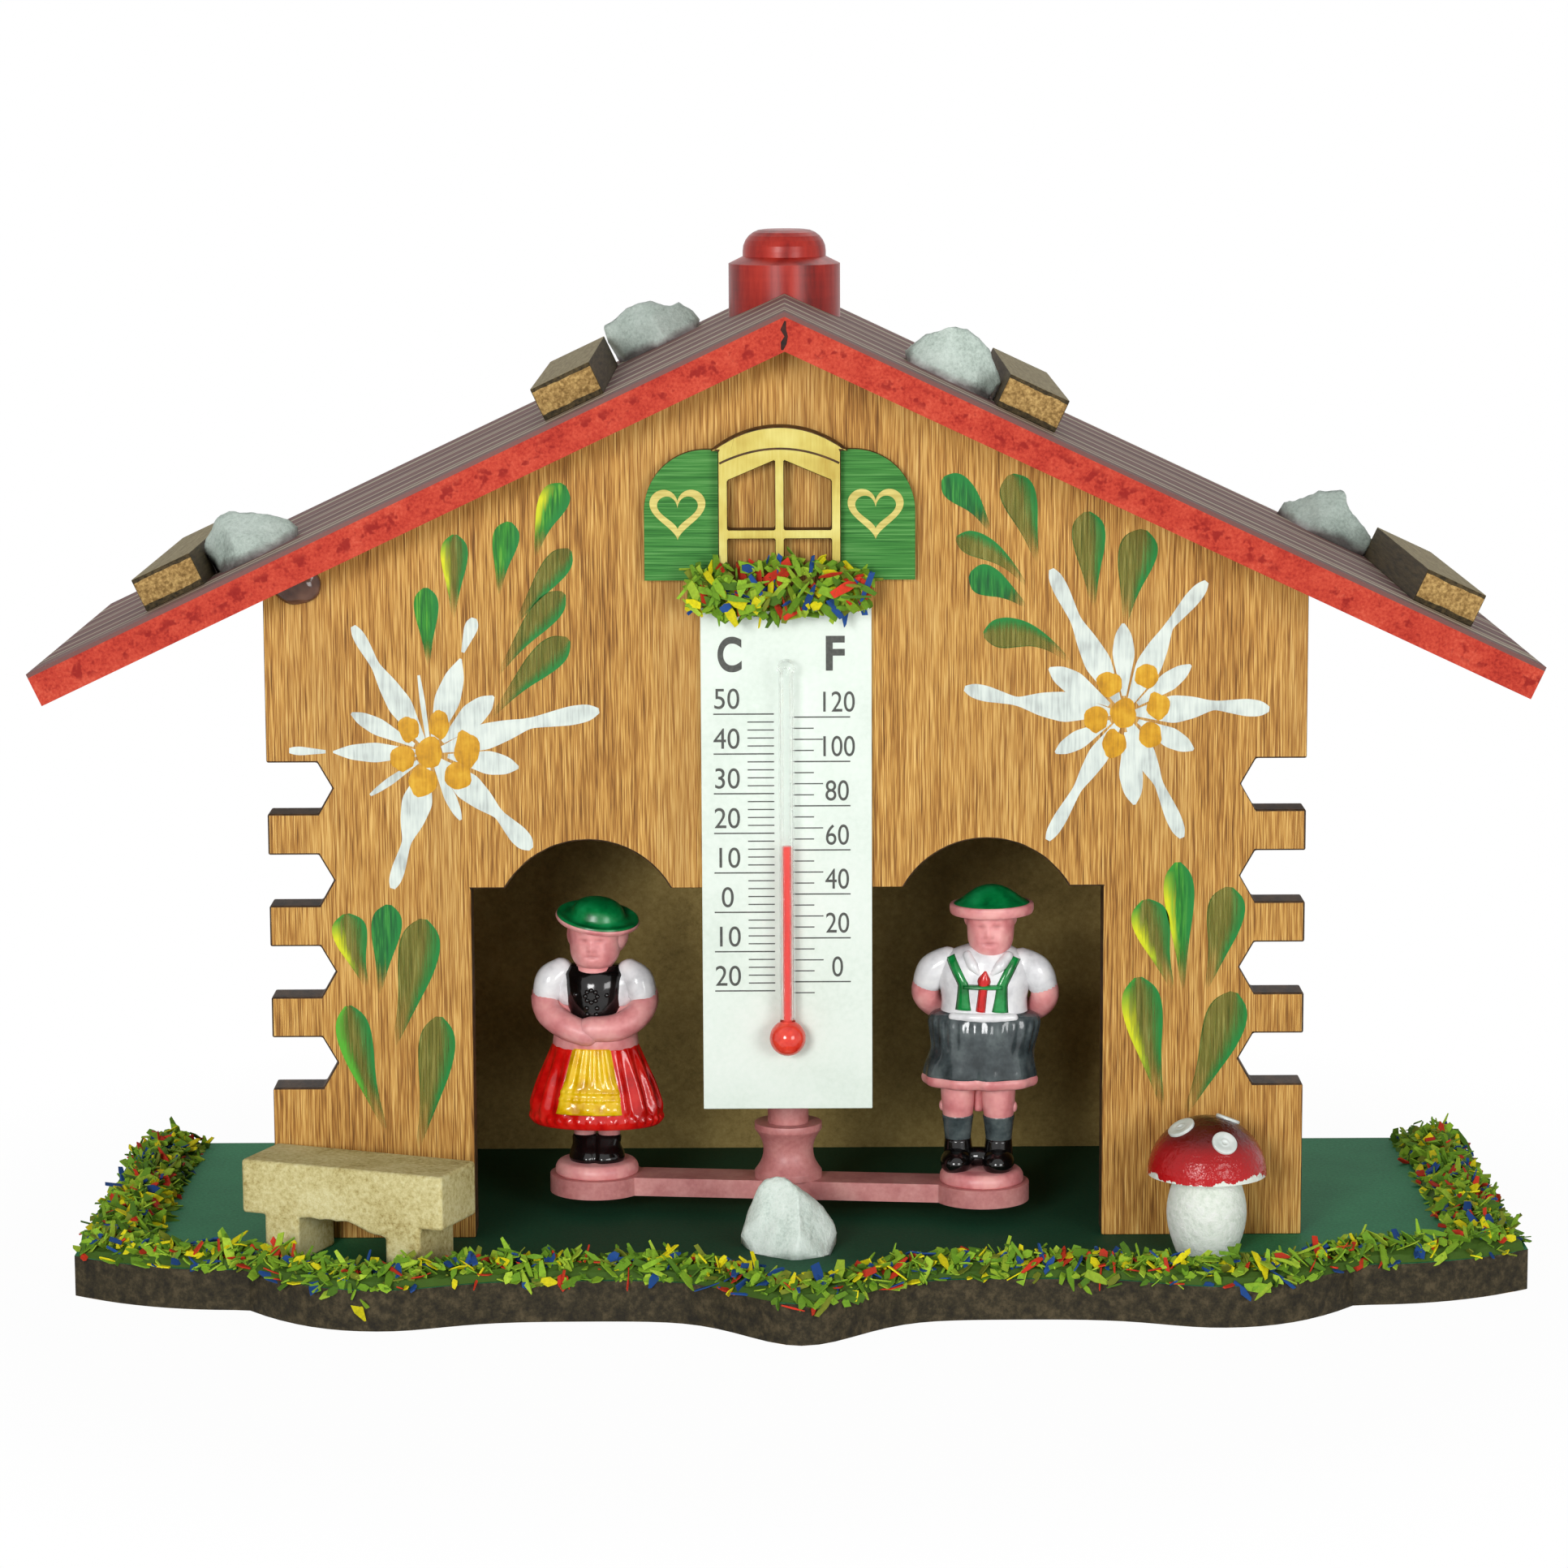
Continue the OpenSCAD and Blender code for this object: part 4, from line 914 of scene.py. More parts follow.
def turned(rings, around, shape=None):
    """Points and faces of a closed form of oval rings (z, half width, half depth, x, y) from foot to top."""
    verts = []
    for z, rx, ry, cx, cy in rings:
        for k in range(around):
            angle = 2 * math.pi * k / around
            swell = shape(angle, z) if shape else 1.0
            verts.append((cx + rx * swell * math.cos(angle), cy + ry * swell * math.sin(angle), z))
    faces = skin(len(rings), around)[:-2]
    for ring in (0, len(rings) - 1):
        z, _, _, cx, cy = rings[ring]
        faces += [(ring * around + k, ring * around + (k + 1) % around, len(verts)) for k in range(around)]
        verts.append((cx, cy, z))
    return verts, faces, [(0, 0, 0)] * len(verts)


def curve(knots, count):
    """Points on a smooth curve through the knots."""
    out = []
    for i in range(count):
        t = i / (count - 1) * (len(knots) - 1)
        k = min(int(t), len(knots) - 2)
        f = t - k
        near = (knots[max(0, min(len(knots) - 1, k + j))] for j in (-1, 0, 1, 2))
        out.append(tuple(
            0.5 * (2 * b + (c - a) * f + (2 * a - 5 * b + 4 * c - d) * f * f + (3 * b - a - 3 * c + d) * f ** 3)
            for a, b, c, d in zip(*near)
        ))
    return out


def rings_of(count, *knots):
    """Oval rings on a smooth curve through the given ones, which stand over the origin unless they end in x and y."""
    return curve([(*knot, 0, 0)[:5] for knot in knots], count)


def front_of(rings):
    """Front of a form of rings, as y at a place across and a height."""
    lines = [[(ring[0], ring[k]) for ring in rings] for k in (1, 2, 3, 4)]

    def surface(x, z):
        rx, ry, cx, cy = (level(line, z) for line in lines)
        return cy - ry * math.sqrt(max(0.03, 1 - ((x - cx) / rx) ** 2))

    return surface


def limb(path, radii):
    """Points and faces of a round-ended limb along a path."""
    knots = curve([(*p, r) for p, r in zip(path, radii)], LIMB_STEPS)
    rows = []
    for i, (*at, r) in enumerate(knots):
        ahead = Vector(knots[min(i + 1, LIMB_STEPS - 1)][:3]) - Vector(knots[max(i - 1, 0)][:3])
        rows.append((Vector(at), ahead.normalized(), r))
    caps = []
    for (at, ahead, r), way in ((rows[0], -1), (rows[-1], 1)):
        caps.append([(at + ahead * way * r * math.sqrt(1 - k * k), ahead, r * k) for k in (0.25, 0.6, 0.85)])
    rows = caps[0] + rows + caps[1][::-1]
    verts = []
    for at, ahead, r in rows:
        side = ahead.cross(Vector((0.13, 0.2, 0.97))).normalized()
        rise = side.cross(ahead)
        for k in range(LIMB_AROUND):
            angle = 2 * math.pi * k / LIMB_AROUND
            verts.append(tuple(at + (side * math.cos(angle) + rise * math.sin(angle)) * r))
    return verts, skin(len(rows), LIMB_AROUND), [(0, 0, 0)] * len(verts)


def limbs(radii, *path, middle=0.0):
    """A limb on either side of a middle, along the path of the right one."""
    return [limb([(middle + s * x, y, z) for x, y, z in path], radii) for s in (-1, 1)]


def ball_at(centre, radii, around=32):
    x, y, z = centre
    angles = [math.pi * (i / 20 - 0.5) for i in range(21)]
    rings = [(z + radii[2] * math.sin(a), *(max(0.02, r * math.cos(a)) for r in radii[:2]), x, y) for a in angles]
    return turned(rings, around)


def held(value):
    """The value, kept from 0 to 1."""
    return min(1.0, max(0.0, value))


def figure_seat(side):
    """Place of a figure on the carrier, with z from the top of its stand."""
    carrier = Matrix.Translation((0, AXIS_Y, 0)) @ Matrix.Rotation(SHOWN_TURN, 4, "Z")
    return carrier @ Matrix.Translation((side * ARM, 0, STAND_TOP))


def doll_part(name, parts, material):
    """A piece of a figure on its seat, with painted shade marked in its creases."""
    verts, faces, marks = gather(parts)
    made = new_piece(name, [seat @ Vector(v) for v in verts], faces, material, "carrier", "painted_figure")
    tint(made, "crease", marks)
    return made


def stand_parts():
    rim = rings_of(16, (-1.7, 5.0, 5.0), (-1.45, 5.2, 5.2), (-0.7, 5.15, 5.15), (-0.15, 4.75, 4.75), (0.0, 4.1, 4.1))
    peg = [(-4.6, 1.2, 1.2, 0, 0), (-4.4, 1.5, 1.5, 0, 0), (-1.0, 1.5, 1.5, 0, 0)]
    return [turned(rim, 48), turned(peg, 24)]


def face_parts(x, y, chin, wide, tall):
    """Plain moulded doll's head with soft features between the chin and the hat, and painted shade marked in the
    creases of the eyes, brows, lips and nostrils.
    """

    def features(angle, height):
        across = math.cos(angle) * wide
        up = (height - chin) / tall
        nose = 0.11 * hump(across / 0.45, (up - 0.55) / 0.12)
        eyes = -0.085 * sum(hump((across - s) / 0.55, (up - 0.74) / 0.06) for s in (-1.05, 1.05))
        cheeks = 0.05 * sum(hump((across - s) / 0.7, (up - 0.45) / 0.13) for s in (-1.5, 1.5))
        mouth = -0.075 * hump(across / 0.8, (up - 0.33) / 0.04)
        lip = 0.035 * hump(across / 0.8, (up - 0.2) / 0.08)
        return 1.0 + max(0.0, -math.sin(angle)) ** 2 * (nose + eyes + cheeks + mouth + lip)

    shares = [
        (-0.02, 0.5, 0.42, -0.5), (0.08, 0.74, 0.76, -0.45), (0.3, 0.94, 0.95, -0.2), (0.6, 1.0, 1.0, 0.0),
        (0.95, 1.03, 1.03, 0.1), (1.25, 0.92, 0.95, 0.15),
    ]
    knots = [(chin + t * tall, a * wide, b * wide, x, y + back) for t, a, b, back in shares]
    verts, faces, _ = turned(rings_of(60, *knots), 72, features)
    marks = []
    # Marks of painted shade in the creases of the lids, brows, lips and nostrils.
    for vx, vy, vz in verts:
        across, up = abs(vx - x), (vz - chin) / tall
        lids = hump((across - 1.05) / 0.5, (up - 0.74) / 0.035)
        brows = 0.5 * hump((across - 1.1) / 0.7, (up - 0.9) / 0.03)
        lips = hump(across / 0.7, (up - 0.33) / 0.03)
        nostrils = 0.6 * hump((across - 0.4) / 0.2, (up - 0.48) / 0.035)
        marks.append((max(lids, brows, lips, nostrils) if vy < y else 0.0, 0.0, 0.0))
    return [(verts, faces, marks)]


def hat_parts(name, centre, aside, forward, rim, dome):
    """Unpainted brim and painted crown of a felt hat, from profiles of (radius, height)."""
    tip = Matrix.Translation(centre) @ Matrix.Rotation(math.radians(aside), 4, "Y")
    tip = tip @ Matrix.Rotation(math.radians(forward), 4, "X")
    for piece, profile, material in ((f"{name}_brim", rim, pink_skin), (name, dome, paint_hat)):
        verts, faces, marks = turned(rings_of(24, *[(h, r, 0.9 * r) for r, h in profile]), 48)
        doll_part(piece, [([tuple(tip @ Vector(v)) for v in verts], faces, marks)], material)


def gloss(name, low, middle, high, rough=0.13):
    """Hand-painted gloss over the moulding, thin on high places."""
    return mottled(name, rough, 0.5, 420, (0.32, *low), (0.5, *middle), (0.7, *high), bump=(0.3, 0.14))


SKIN_TONES = (0.34, 206, 122, 124), (0.5, 226, 150, 149), (0.66, 238, 172, 168)
pink_skin = mottled("pink_skin", PINK_ROUGH, 0.5, 300, *SKIN_TONES, bump=(0.15, 0.1), **PINK)
# The face's pink is darkened along the marked creases as painted shade.
pink_face, place = new_finish("pink_face", PINK_ROUGH, **PINK)
crease = place.node("Attribute", {"attribute_name": "crease"}, {})
deep = place.node("SeparateColor", {}, {"Color": crease}, "Red")
flow = grain(place, 300)
coat(deep * 0.6, tones(flow, *SKIN_TONES), paint(150, 76, 78)).feed("Base Color")
relief(flow, 0.15, 0.1)
paint_white = gloss("paint_white", (206, 206, 208), (228, 228, 230), (240, 240, 240))
paint_black = gloss("paint_black", (6, 5, 5), (12, 10, 10), (26, 22, 22))
paint_red = gloss("paint_red", (176, 8, 8), (208, 18, 14), (222, 44, 34))
paint_yellow = gloss("paint_yellow", (206, 150, 6), (236, 190, 12), (244, 206, 50))
paint_hat = gloss("paint_hat", (0, 84, 40), (2, 118, 58), (24, 142, 80), 0.3)

SKIRT = rings_of(
    48, (4.7, 7.9, 5.0), (5.1, 8.25, 5.2), (6.4, 8.3, 5.2), (9.0, 7.6, 4.8), (12.0, 6.5, 4.3), (14.4, 5.6, 3.85),
    (15.6, 5.0, 3.5),
)
BODICE = rings_of(
    30, (16.0, 2.6, 2.8), (18.6, 3.2, 3.1), (20.6, 3.7, 3.3), (22.6, 3.95, 3.2), (24.0, 3.9, 2.7, 0, 0.1),
    (24.8, 3.2, 2.0, 0, 0.2),
)


def pleats(angle, z):
    """Broad pleats that run out at the waist, over a hem with a row of small bumps."""
    deep = 0.045 * held((15.4 - z) / 5) * held((z - 6.0) / 1.2)
    hem = hump((z - 5.6) / 0.45)
    return 1 + deep * math.cos(18 * angle) + hem * (0.012 + 0.018 * math.cos(36 * angle))


def apron_part():
    """Gathered apron over the front of the skirt, with two sewn tucks and full folds below them."""
    on_skirt = front_of(SKIRT)
    verts = []
    for i in range(APRON_ROWS):
        z = 6.7 + 8.1 * i / (APRON_ROWS - 1)
        left = level([(6.7, -4.8), (9.4, -4.2), (14.8, -2.5)], z)
        right = level([(6.7, 4.3), (9.4, 3.9), (14.8, 2.5)], z)
        tuck = sum(hump((z - at) / 0.24) for at in (8.6, 9.5))
        low = held((8.3 - z) / 0.7) * held((z - 6.6) / 0.6)
        front, back = [], []
        for k in range(APRON_COLUMNS):
            s = 2 * k / (APRON_COLUMNS - 1) - 1
            x = left + (right - left) * (s + 1) / 2
            gathers = 0.17 * math.cos(5.5 * math.pi * s) * held((z - 9.6) / 1.5)
            sewn = tuck * (0.2 + 0.1 * math.cos(9 * math.pi * s))
            full = 0.3 * low * (0.5 + 0.5 * math.cos(3 * math.pi * s))
            border = max(0.0, abs(s) - 0.86) / 0.14
            out = 0.36 - 0.5 * border + (gathers + sewn + full) * (1 - border)
            front.append((x, on_skirt(x, z) - out, z))
            back.append((x, on_skirt(x, z) + 0.5, z))
        verts += front + back[::-1]
    ring = 2 * APRON_COLUMNS
    faces = skin(APRON_ROWS, ring)[:-2]
    for a in (0, (APRON_ROWS - 1) * ring):
        faces += [(a + k, a + k + 1, a + ring - 2 - k, a + ring - 1 - k) for k in range(APRON_COLUMNS - 1)]
    return verts, faces, [(0, 0, 0)] * len(verts)


def boot_groove(angle, z):
    """Groove between the two boots, in front and behind."""
    return 1 - 0.22 * hump(math.cos(angle) / 0.16)


seat = figure_seat(-1)
woman_stand = doll_part("woman_stand", stand_parts(), pink_skin)
boots = rings_of(
    20, (-0.1, 3.3, 2.6, 0.1, -0.5), (0.4, 3.5, 2.8, 0.1, -0.6), (1.1, 3.4, 2.6, 0.1, -0.5), (2.0, 3.05, 2.15, 0, -0.2),
    (2.9, 3.1, 2.0, 0, 0.2), (3.2, 2.8, 1.8, 0, 0.2),
)
doll_part("woman_boots", [turned(boots, 64, boot_groove)], paint_black)
legs = [[(2.6, 1.35, 1.35, s * 1.55, 0.3), (6.5, 1.5, 1.5, s * 1.5, 0.3)] for s in (-1, 1)]
doll_part("woman_legs", [turned(leg, 28) for leg in legs], pink_skin)
doll_part("woman_skirt", [turned(SKIRT, 288, pleats)], paint_red)
doll_part("woman_apron", [apron_part()], paint_yellow)
on_bodice = front_of(BODICE)
lacing = [(0.75 * math.cos(k * math.pi / 4), 21.4 + 0.75 * math.sin(k * math.pi / 4)) for k in range(8)]
lacing += [(-2.0, 21.5), (1.9, 21.5), (-0.6, 19.9), (0.7, 19.9), (-0.55, 19.1), (0.6, 19.1)]
knobs = [ball_at((x, on_bodice(x, z), z), (0.32, 0.3, 0.3), 16) for x, z in lacing]
doll_part("woman_bodice", [turned(BODICE, 48)] + knobs, paint_black)
sleeves = limbs([1.7, 1.95, 1.85], (4.4, 0.1, 23.9), (5.5, -0.2, 22.9), (6.0, -0.4, 21.4))
yoke = rings_of(14, (19.8, 4.5, 1.9), (21.0, 5.0, 2.3), (23.0, 5.2, 2.2), (24.2, 4.2, 1.6))
doll_part("woman_blouse", sleeves + [turned(yoke, 40)], paint_white)
arms = [limb([
    (s * 5.3, 0.0, 22.7), (s * 6.45, -0.1, 21.0), (s * 5.6, -1.7, 18.9), (s * 3.1, -3.1, 17.5),
    (s * 0.2 - 0.4, -3.6, 17.0 + 0.3 * s),
], [1.4, 1.6, 1.7, 1.7, 1.6]) for s in (-1, 1)]
waist = rings_of(
    18, (14.2, 5.35, 3.6), (15.0, 5.4, 4.0), (16.6, 5.2, 4.0), (18.2, 5.0, 2.4), (20.2, 5.0, 1.4), (22.6, 4.6, 1.0),
)
doll_part("woman_arms", arms + [turned(waist, 48)], pink_skin)
neck = rings_of(
    16, (23.7, 1.5, 1.1, 0, -1.2), (24.3, 2.4, 1.7, 0, -0.8), (25.0, 2.2, 1.8, 0, -0.4), (27.0, 2.0, 1.8, 0, 0.1),
)
hair = ball_at((0.3, 0.6, 28.6), (3.9, 2.8, 3.1))
doll_part("woman_head", face_parts(0.1, -0.2, 24.7, 3.2, 5.0) + [turned(neck, 40), hair], pink_face)
hat_parts(
    "woman_hat", (0.4, 0, 30.7), 8, 12, [(3.4, -0.55), (4.9, -0.45), (5.25, -0.1), (5.25, 0.12), (5.1, 0.3)],
    [
        (5.2, 0.1), (5.05, 0.5), (4.6, 0.45), (4.0, 0.35), (3.5, 0.6), (3.15, 1.3), (2.6, 1.95), (1.7, 2.35),
        (0.8, 2.5), (0.05, 2.52),
    ],
)
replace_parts(woman_stand, "woman")

# Man: the same moulding with hands behind its back, painted with a white shirt, green braces, a red tie,
# grey shorts and socks, black shoes and a green hat.
MAN_X = 0.35
LEGS = (-3.0, 2.1)
paint_grey = gloss("paint_grey", (44, 52, 54), (66, 75, 77), (92, 102, 102))
paint_braces = gloss("paint_braces", (8, 100, 42), (14, 132, 58), (40, 154, 80))
SHIRT = rings_of(
    30, (18.6, 5.6, 3.6, 0.3, 0), (21.5, 5.3, 3.6, 0.3, 0), (24.6, 5.9, 3.5, 0.35, 0), (26.6, 5.3, 3.1, 0.4, 0),
    (27.6, 4.0, 2.5, 0.5, 0), (28.2, 2.6, 2.1, 0.8, 0),
)
SHORTS = rings_of(
    40, (11.5, 6.7, 4.3, -0.25, 0), (11.9, 7.0, 4.6, -0.25, 0), (13.2, 6.8, 4.55, -0.2, 0), (15.4, 6.45, 4.4, 0.1, 0),
    (17.4, 6.75, 4.35, 0.25, 0), (18.8, 6.9, 4.1, 0.3, 0), (19.6, 6.5, 3.8, 0.3, 0), (20.0, 5.4, 3.4, 0.3, 0),
)
HEM = rings_of(
    12, (10.5, 6.2, 4.0, -0.25, 0), (10.7, 6.9, 4.5, -0.25, 0), (11.4, 7.15, 4.75, -0.25, 0),
    (12.0, 6.9, 4.5, -0.25, 0),
)


def shorts_form(angle, z):
    """Gathers under the waist, broad folds at the hem, and the gap between the legs."""
    gathers = 0.014 * math.cos(26 * angle) * held((z - 14.5) / 2) * held(19.6 - z)
    folds = 0.02 * math.cos(10 * angle + 0.6) * held((14.5 - z) / 2)
    gap = hump(math.cos(angle) / 0.12) * max(0.0, (14.0 - z) / 3)
    return 1 + gathers + folds - 0.12 * gap


seat = figure_seat(1)
man_stand = doll_part("man_stand", stand_parts(), pink_skin)
toes = [ball_at((x * 1.02, -0.9, 0.9), (2.0, 2.9, 1.7)) for x in LEGS]
ankles = [
    rings_of(8, (0.4, 1.9, 1.9, x * 0.95, 0.4), (2.0, 1.8, 1.8, x * 0.98, 0.5), (3.6, 1.65, 1.65, x, 0.5))
    for x in LEGS
]
web = limb([(-2.0, 0.8, 1.0), (-0.4, 0.6, 1.2), (1.4, 0.8, 1.0)], [1.1, 1.2, 1.1])
doll_part("man_shoes", toes + [turned(ankle, 28) for ankle in ankles] + [web], paint_black)
SOCK = (2.8, 1.55), (4.4, 1.7), (6.0, 1.9), (6.5, 1.98), (6.8, 1.7)
socks = [rings_of(16, *[(z, r, r, x, 0.5) for z, r in SOCK]) for x in LEGS]
doll_part("man_socks", [turned(sock, 30) for sock in socks], paint_grey)
KNEE = (6.0, 1.75, 1.75, 0.4), (7.6, 1.98, 1.98, 0.3), (9.4, 2.08, 2.1, 0.2), (12.0, 2.2, 2.2, 0.2)
knees = [rings_of(16, *[(z, wide, deep, x, y) for z, wide, deep, y in KNEE]) for x in LEGS]
bumps = [ball_at((x + s * 1.9, 0.3, 7.7), (0.42, 0.6, 0.7), 16) for x, s in zip(LEGS, (-1, 1))]
flash = rings_of(8, (6.9, 0.5, 0.6, -0.45, 1.4), (7.4, 0.7, 0.8, -0.45, 1.4), (11.6, 0.8, 0.8, -0.45, 1.4))
bare = [turned(knee, 30) for knee in knees] + [turned(HEM, 96, shorts_form)] + bumps + [turned(flash, 24)]
doll_part("man_legs", bare, pink_skin)
doll_part("man_shorts", [turned(SHORTS, 208, shorts_form)], paint_grey)
sleeves = limbs([1.85, 2.05, 1.9], (4.7, 0.1, 26.0), (6.3, 0.3, 24.9), (7.1, 0.6, 23.4), middle=MAN_X)
collar = [
    limb([(s * 0.9 + 0.7, -3.2, 25.2), (s * 1.7 + 0.8, -3.0, 26.1), (s * 2.5 + 0.9, -2.2, 27.2)], [0.35, 0.7, 0.6])
    for s in (-1, 1)
]
waist_y = front_of(SHORTS)
tail = limb([(x, waist_y(x, 19.2) + 0.5, 19.6) for x in (-3.4, -1.4, 0.6, 2.6, 4.2)], [0.5, 0.6, 0.65, 0.6, 0.5])
doll_part("man_shirt", [turned(SHIRT, 48)] + sleeves + collar + [tail], paint_white)
arms = limbs(
    [1.75, 1.75, 1.55, 1.35, 1.3],
    (7.0, 0.6, 23.8), (7.4, 1.0, 21.8), (6.2, 2.6, 19.9), (3.2, 4.0, 18.8), (0.8, 4.3, 18.4), middle=MAN_X,
)
doll_part("man_arms", arms, pink_skin)
on_shirt = front_of(SHIRT)
BRACE = [0.62 + (0.14 * (i / 12) ** 3 if i > 8 else 0.0) for i in range(18)]
doll_part("man_braces", [
    brush(stretch([(-3.8, 27.0), (-2.07, 23.7), (-2.07, 20.5)], 18), BRACE, on_shirt, 0.26),
    brush(stretch([(4.35, 27.0), (2.75, 23.7), (2.5, 20.3)], 18), BRACE, on_shirt, 0.26),
    brush(stretch([(-2.1, 23.45), (2.8, 23.45)], 14), [0.34] * 14, on_shirt, 0.55),
], paint_braces)
TIE = form([(0, 0.12), (0.22, 0.9), (0.3, 0.9), (0.37, 0.55), (1, 0.6)], 22)
tie = brush(stretch([(0.7, 25.5), (0.45, 23.6), (0.1, 20.4)], 22), TIE, on_shirt, 0.34)
doll_part("man_tie", [tie], paint_red)
neck = rings_of(14, (26.8, 1.6, 1.2, 0.8, -0.9), (27.4, 2.3, 1.8, 0.9, -0.6), (29.0, 2.2, 2.0, 1.0, 0))
hair = ball_at((1.0, 0.7, 31.4), (3.3, 2.7, 2.0))
doll_part("man_head", face_parts(1.1, -0.2, 27.1, 2.9, 5.2) + [turned(neck, 36), hair], pink_face)
hat_parts(
    "man_hat", (1.2, 0, 33.2), -1, 1, [(3.4, -1.1), (4.8, -1.05), (5.15, -0.7), (5.2, 0.0), (5.05, 0.3)],
    [(5.0, 0.1), (4.6, 0.35), (3.9, 0.75), (3.1, 1.35), (2.3, 1.9), (1.5, 2.3), (0.7, 2.5), (0.05, 2.52)],
)
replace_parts(man_stand, "man")

# Bench: a seat on two legs, sawn from one block of pale wood with an uneven arch below.
# Its corners are rubbed off, and it is glued to the board at a slant to the house.
BOARD_TOP = 5.0
BENCH_L, BENCH_D = 26.8, 9.4
SEAT_T, LEG_H, LEG_W, LEG_IN = 6.6, 5.6, 4.6, 3.0
BENCH_TURN = math.radians(-22)
BENCH_DEEP = BENCH_L * math.sin(-BENCH_TURN) + BENCH_D * math.cos(BENCH_TURN)
BENCH_AT = (-51.8, FRONT - 0.4 - BENCH_DEEP / 2, BOARD_TOP)
ARCH_POINTS = 17
SAWN_EDGE = math.radians(40)
pale_block, place = new_finish("pale_block", 0.85, 0.15)
pores = grain(place, 1700, 4.0, 0.75)
pale = tones(
    pores * 0.6 + grain(place, 130) * 0.4,
    (0.36, 164, 145, 89), (0.45, 195, 182, 125), (0.54, 212, 202, 148), (0.66, 225, 218, 171),
)
pale.feed("Base Color")
relief(pores, 0.7, 0.25)
half = BENCH_L / 2
left, right = -half + LEG_IN, half - LEG_IN
arch = []
for i in range(ARCH_POINTS):
    t = i / (ARCH_POINTS - 1)
    sag = level([(0, 1.5), (0.12, 1.2), (0.24, 0.9), (0.36, 0.15), (0.45, 0.0), (1, 0.0)], t)
    arch.append((right - LEG_W + (left - right + 2 * LEG_W) * t, LEG_H - sag + 0.08 * math.sin(31 * t)))
outline = [(-half, LEG_H), (-half, LEG_H + SEAT_T), (half, LEG_H + SEAT_T), (half, LEG_H), (right, LEG_H)]
outline += [(right, 0), (right - LEG_W, 0), *arch, (left + LEG_W, 0), (left, 0), (left, LEG_H)]
block = bmesh.new()
corners = [block.verts.new((x, y, z)) for y in (-BENCH_D / 2, BENCH_D / 2) for x, z in outline]
for face in skin(2, len(outline)):
    block.faces.new([corners[k] for k in face])
bmesh.ops.recalc_face_normals(block, faces=block.faces)
sharp = [edge for edge in block.edges if edge.calc_face_angle(0) > SAWN_EDGE]
bmesh.ops.bevel(block, geom=sharp, offset=0.5, segments=3, profile=0.6, affect="EDGES")
bmesh.ops.triangulate(block, faces=[face for face in block.faces if len(face.verts) > 4])
block.verts.index_update()
stand = Matrix.Translation(BENCH_AT) @ Matrix.Rotation(BENCH_TURN, 4, "Z")
verts = [stand @ vert.co for vert in block.verts]
faces = [[vert.index for vert in face.verts] for face in block.faces]
block.free()
bench = new_piece("bench_block", verts, faces, pale_block, "house", "plain_wood")
bench.modifiers.new("normals", "WEIGHTED_NORMAL")
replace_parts(bench, "bench")

# Mushroom: a stalk and cap of pressed cotton, the cap dipped in red gloss with an uneven rim and painted darker towards
# its top as a painted reflection of the dark space above.
# Three thick white dots are dabbed on top, each with the dimple of the stick.
CAP_FOOT = 14.6
CAP_AT = Vector((50.6, FRONT - 7.6, CAP_FOOT))
CAP_R, CAP_H = 7.2, 7.0
DOTS = ((-3.3, -1.61, 6.02), 1.7), ((1.65, -4.94, 4.82), 1.55), ((2.6, 1.17, 6.43), 1.5)
DOT_FORM = (-0.5, 0.97), (0.04, 1.0), (0.16, 0.93), (0.18, 0.7), (0.12, 0.4), (0.16, 0.26), (0.02, 0.1)
cotton = mottled(
    "cotton", 0.9, 0.5, 900, (0.34, 218, 228, 214), (0.5, 238, 245, 234), (0.66, 247, 250, 244),
    fine=(5.0, 0.75), bump=(0.8, 0.4), Sheen_Weight=0.2,
)
dress(cotton, "mushroom_stalk")
cap_red, place = new_finish("cap_red", 0.12, 0.32)
above = along_axis(place, "Z") * (1 / MM) - CAP_FOOT
ragged = above + (grain(place, (360, 360, 90), 5.0, 0.65) - 0.5) * 4.5
# Painted reflection: the red lacquer darkens towards the top of the cap, as if reflecting a dark ceiling.
shade = ramp(above, 0.5, 6.5)
lacquer = tones(shade, (0.0, 186, 12, 18), (0.5, 158, 10, 14), (0.75, 98, 14, 13), (1.0, 66, 16, 13))
coat(ragged < 0.35, lacquer, paint(228, 234, 224)).feed("Base Color")
relief(grain(place, 650, 4.0, 0.65), 0.8, 0.35)
dress(cap_red, "mushroom_cap")
dot_white = mottled("dot_white", 0.35, 0.5, 500, (0.34, 196, 206, 200), (0.66, 226, 232, 228))
dots = []
for at, size in DOTS:
    spot = Vector(at)
    out = Vector((spot.x / CAP_R ** 2, spot.y / CAP_R ** 2, spot.z / CAP_H ** 2)).normalized()
    turn = out.to_track_quat("Z", "Y").to_matrix().to_4x4()
    verts, faces, marks = turned(rings_of(26, *[(h, size * r, size * r) for h, r in DOT_FORM]), 32)
    dots.append(([tuple(CAP_AT + spot + (turn @ Vector(v))) for v in verts], faces, marks))
new_piece("mushroom_dots", *gather(dots)[:2], dot_white, "house", "white_cotton")

# Front stone: a rounded chip of the same marble, glued to the board in front of the carrier's hub.
# Its marble is given paler tones than those on the roof, and no glue shows at its foot.
FRONT_STONE = (11.6, 9.6, 9.0)
FRONT_OUTLINE = [
    (-1, 0.2), (-0.86, 0.5), (-0.7, 0.74), (-0.61, 0.87), (-0.5, 0.95), (-0.32, 1.0), (-0.08, 1.0), (0.14, 0.9),
    (0.37, 0.76), (0.71, 0.58), (0.94, 0.37), (1, 0.2),
]
chip = chip_of_stone(FRONT_STONE, FRONT_OUTLINE, 31, Matrix.Translation((0, FRONT - 6.8, BOARD_TOP)))
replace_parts(new_piece("chip_front", *chip, marble("front_marble", False), "house", "pale_stone"), "front_stone")

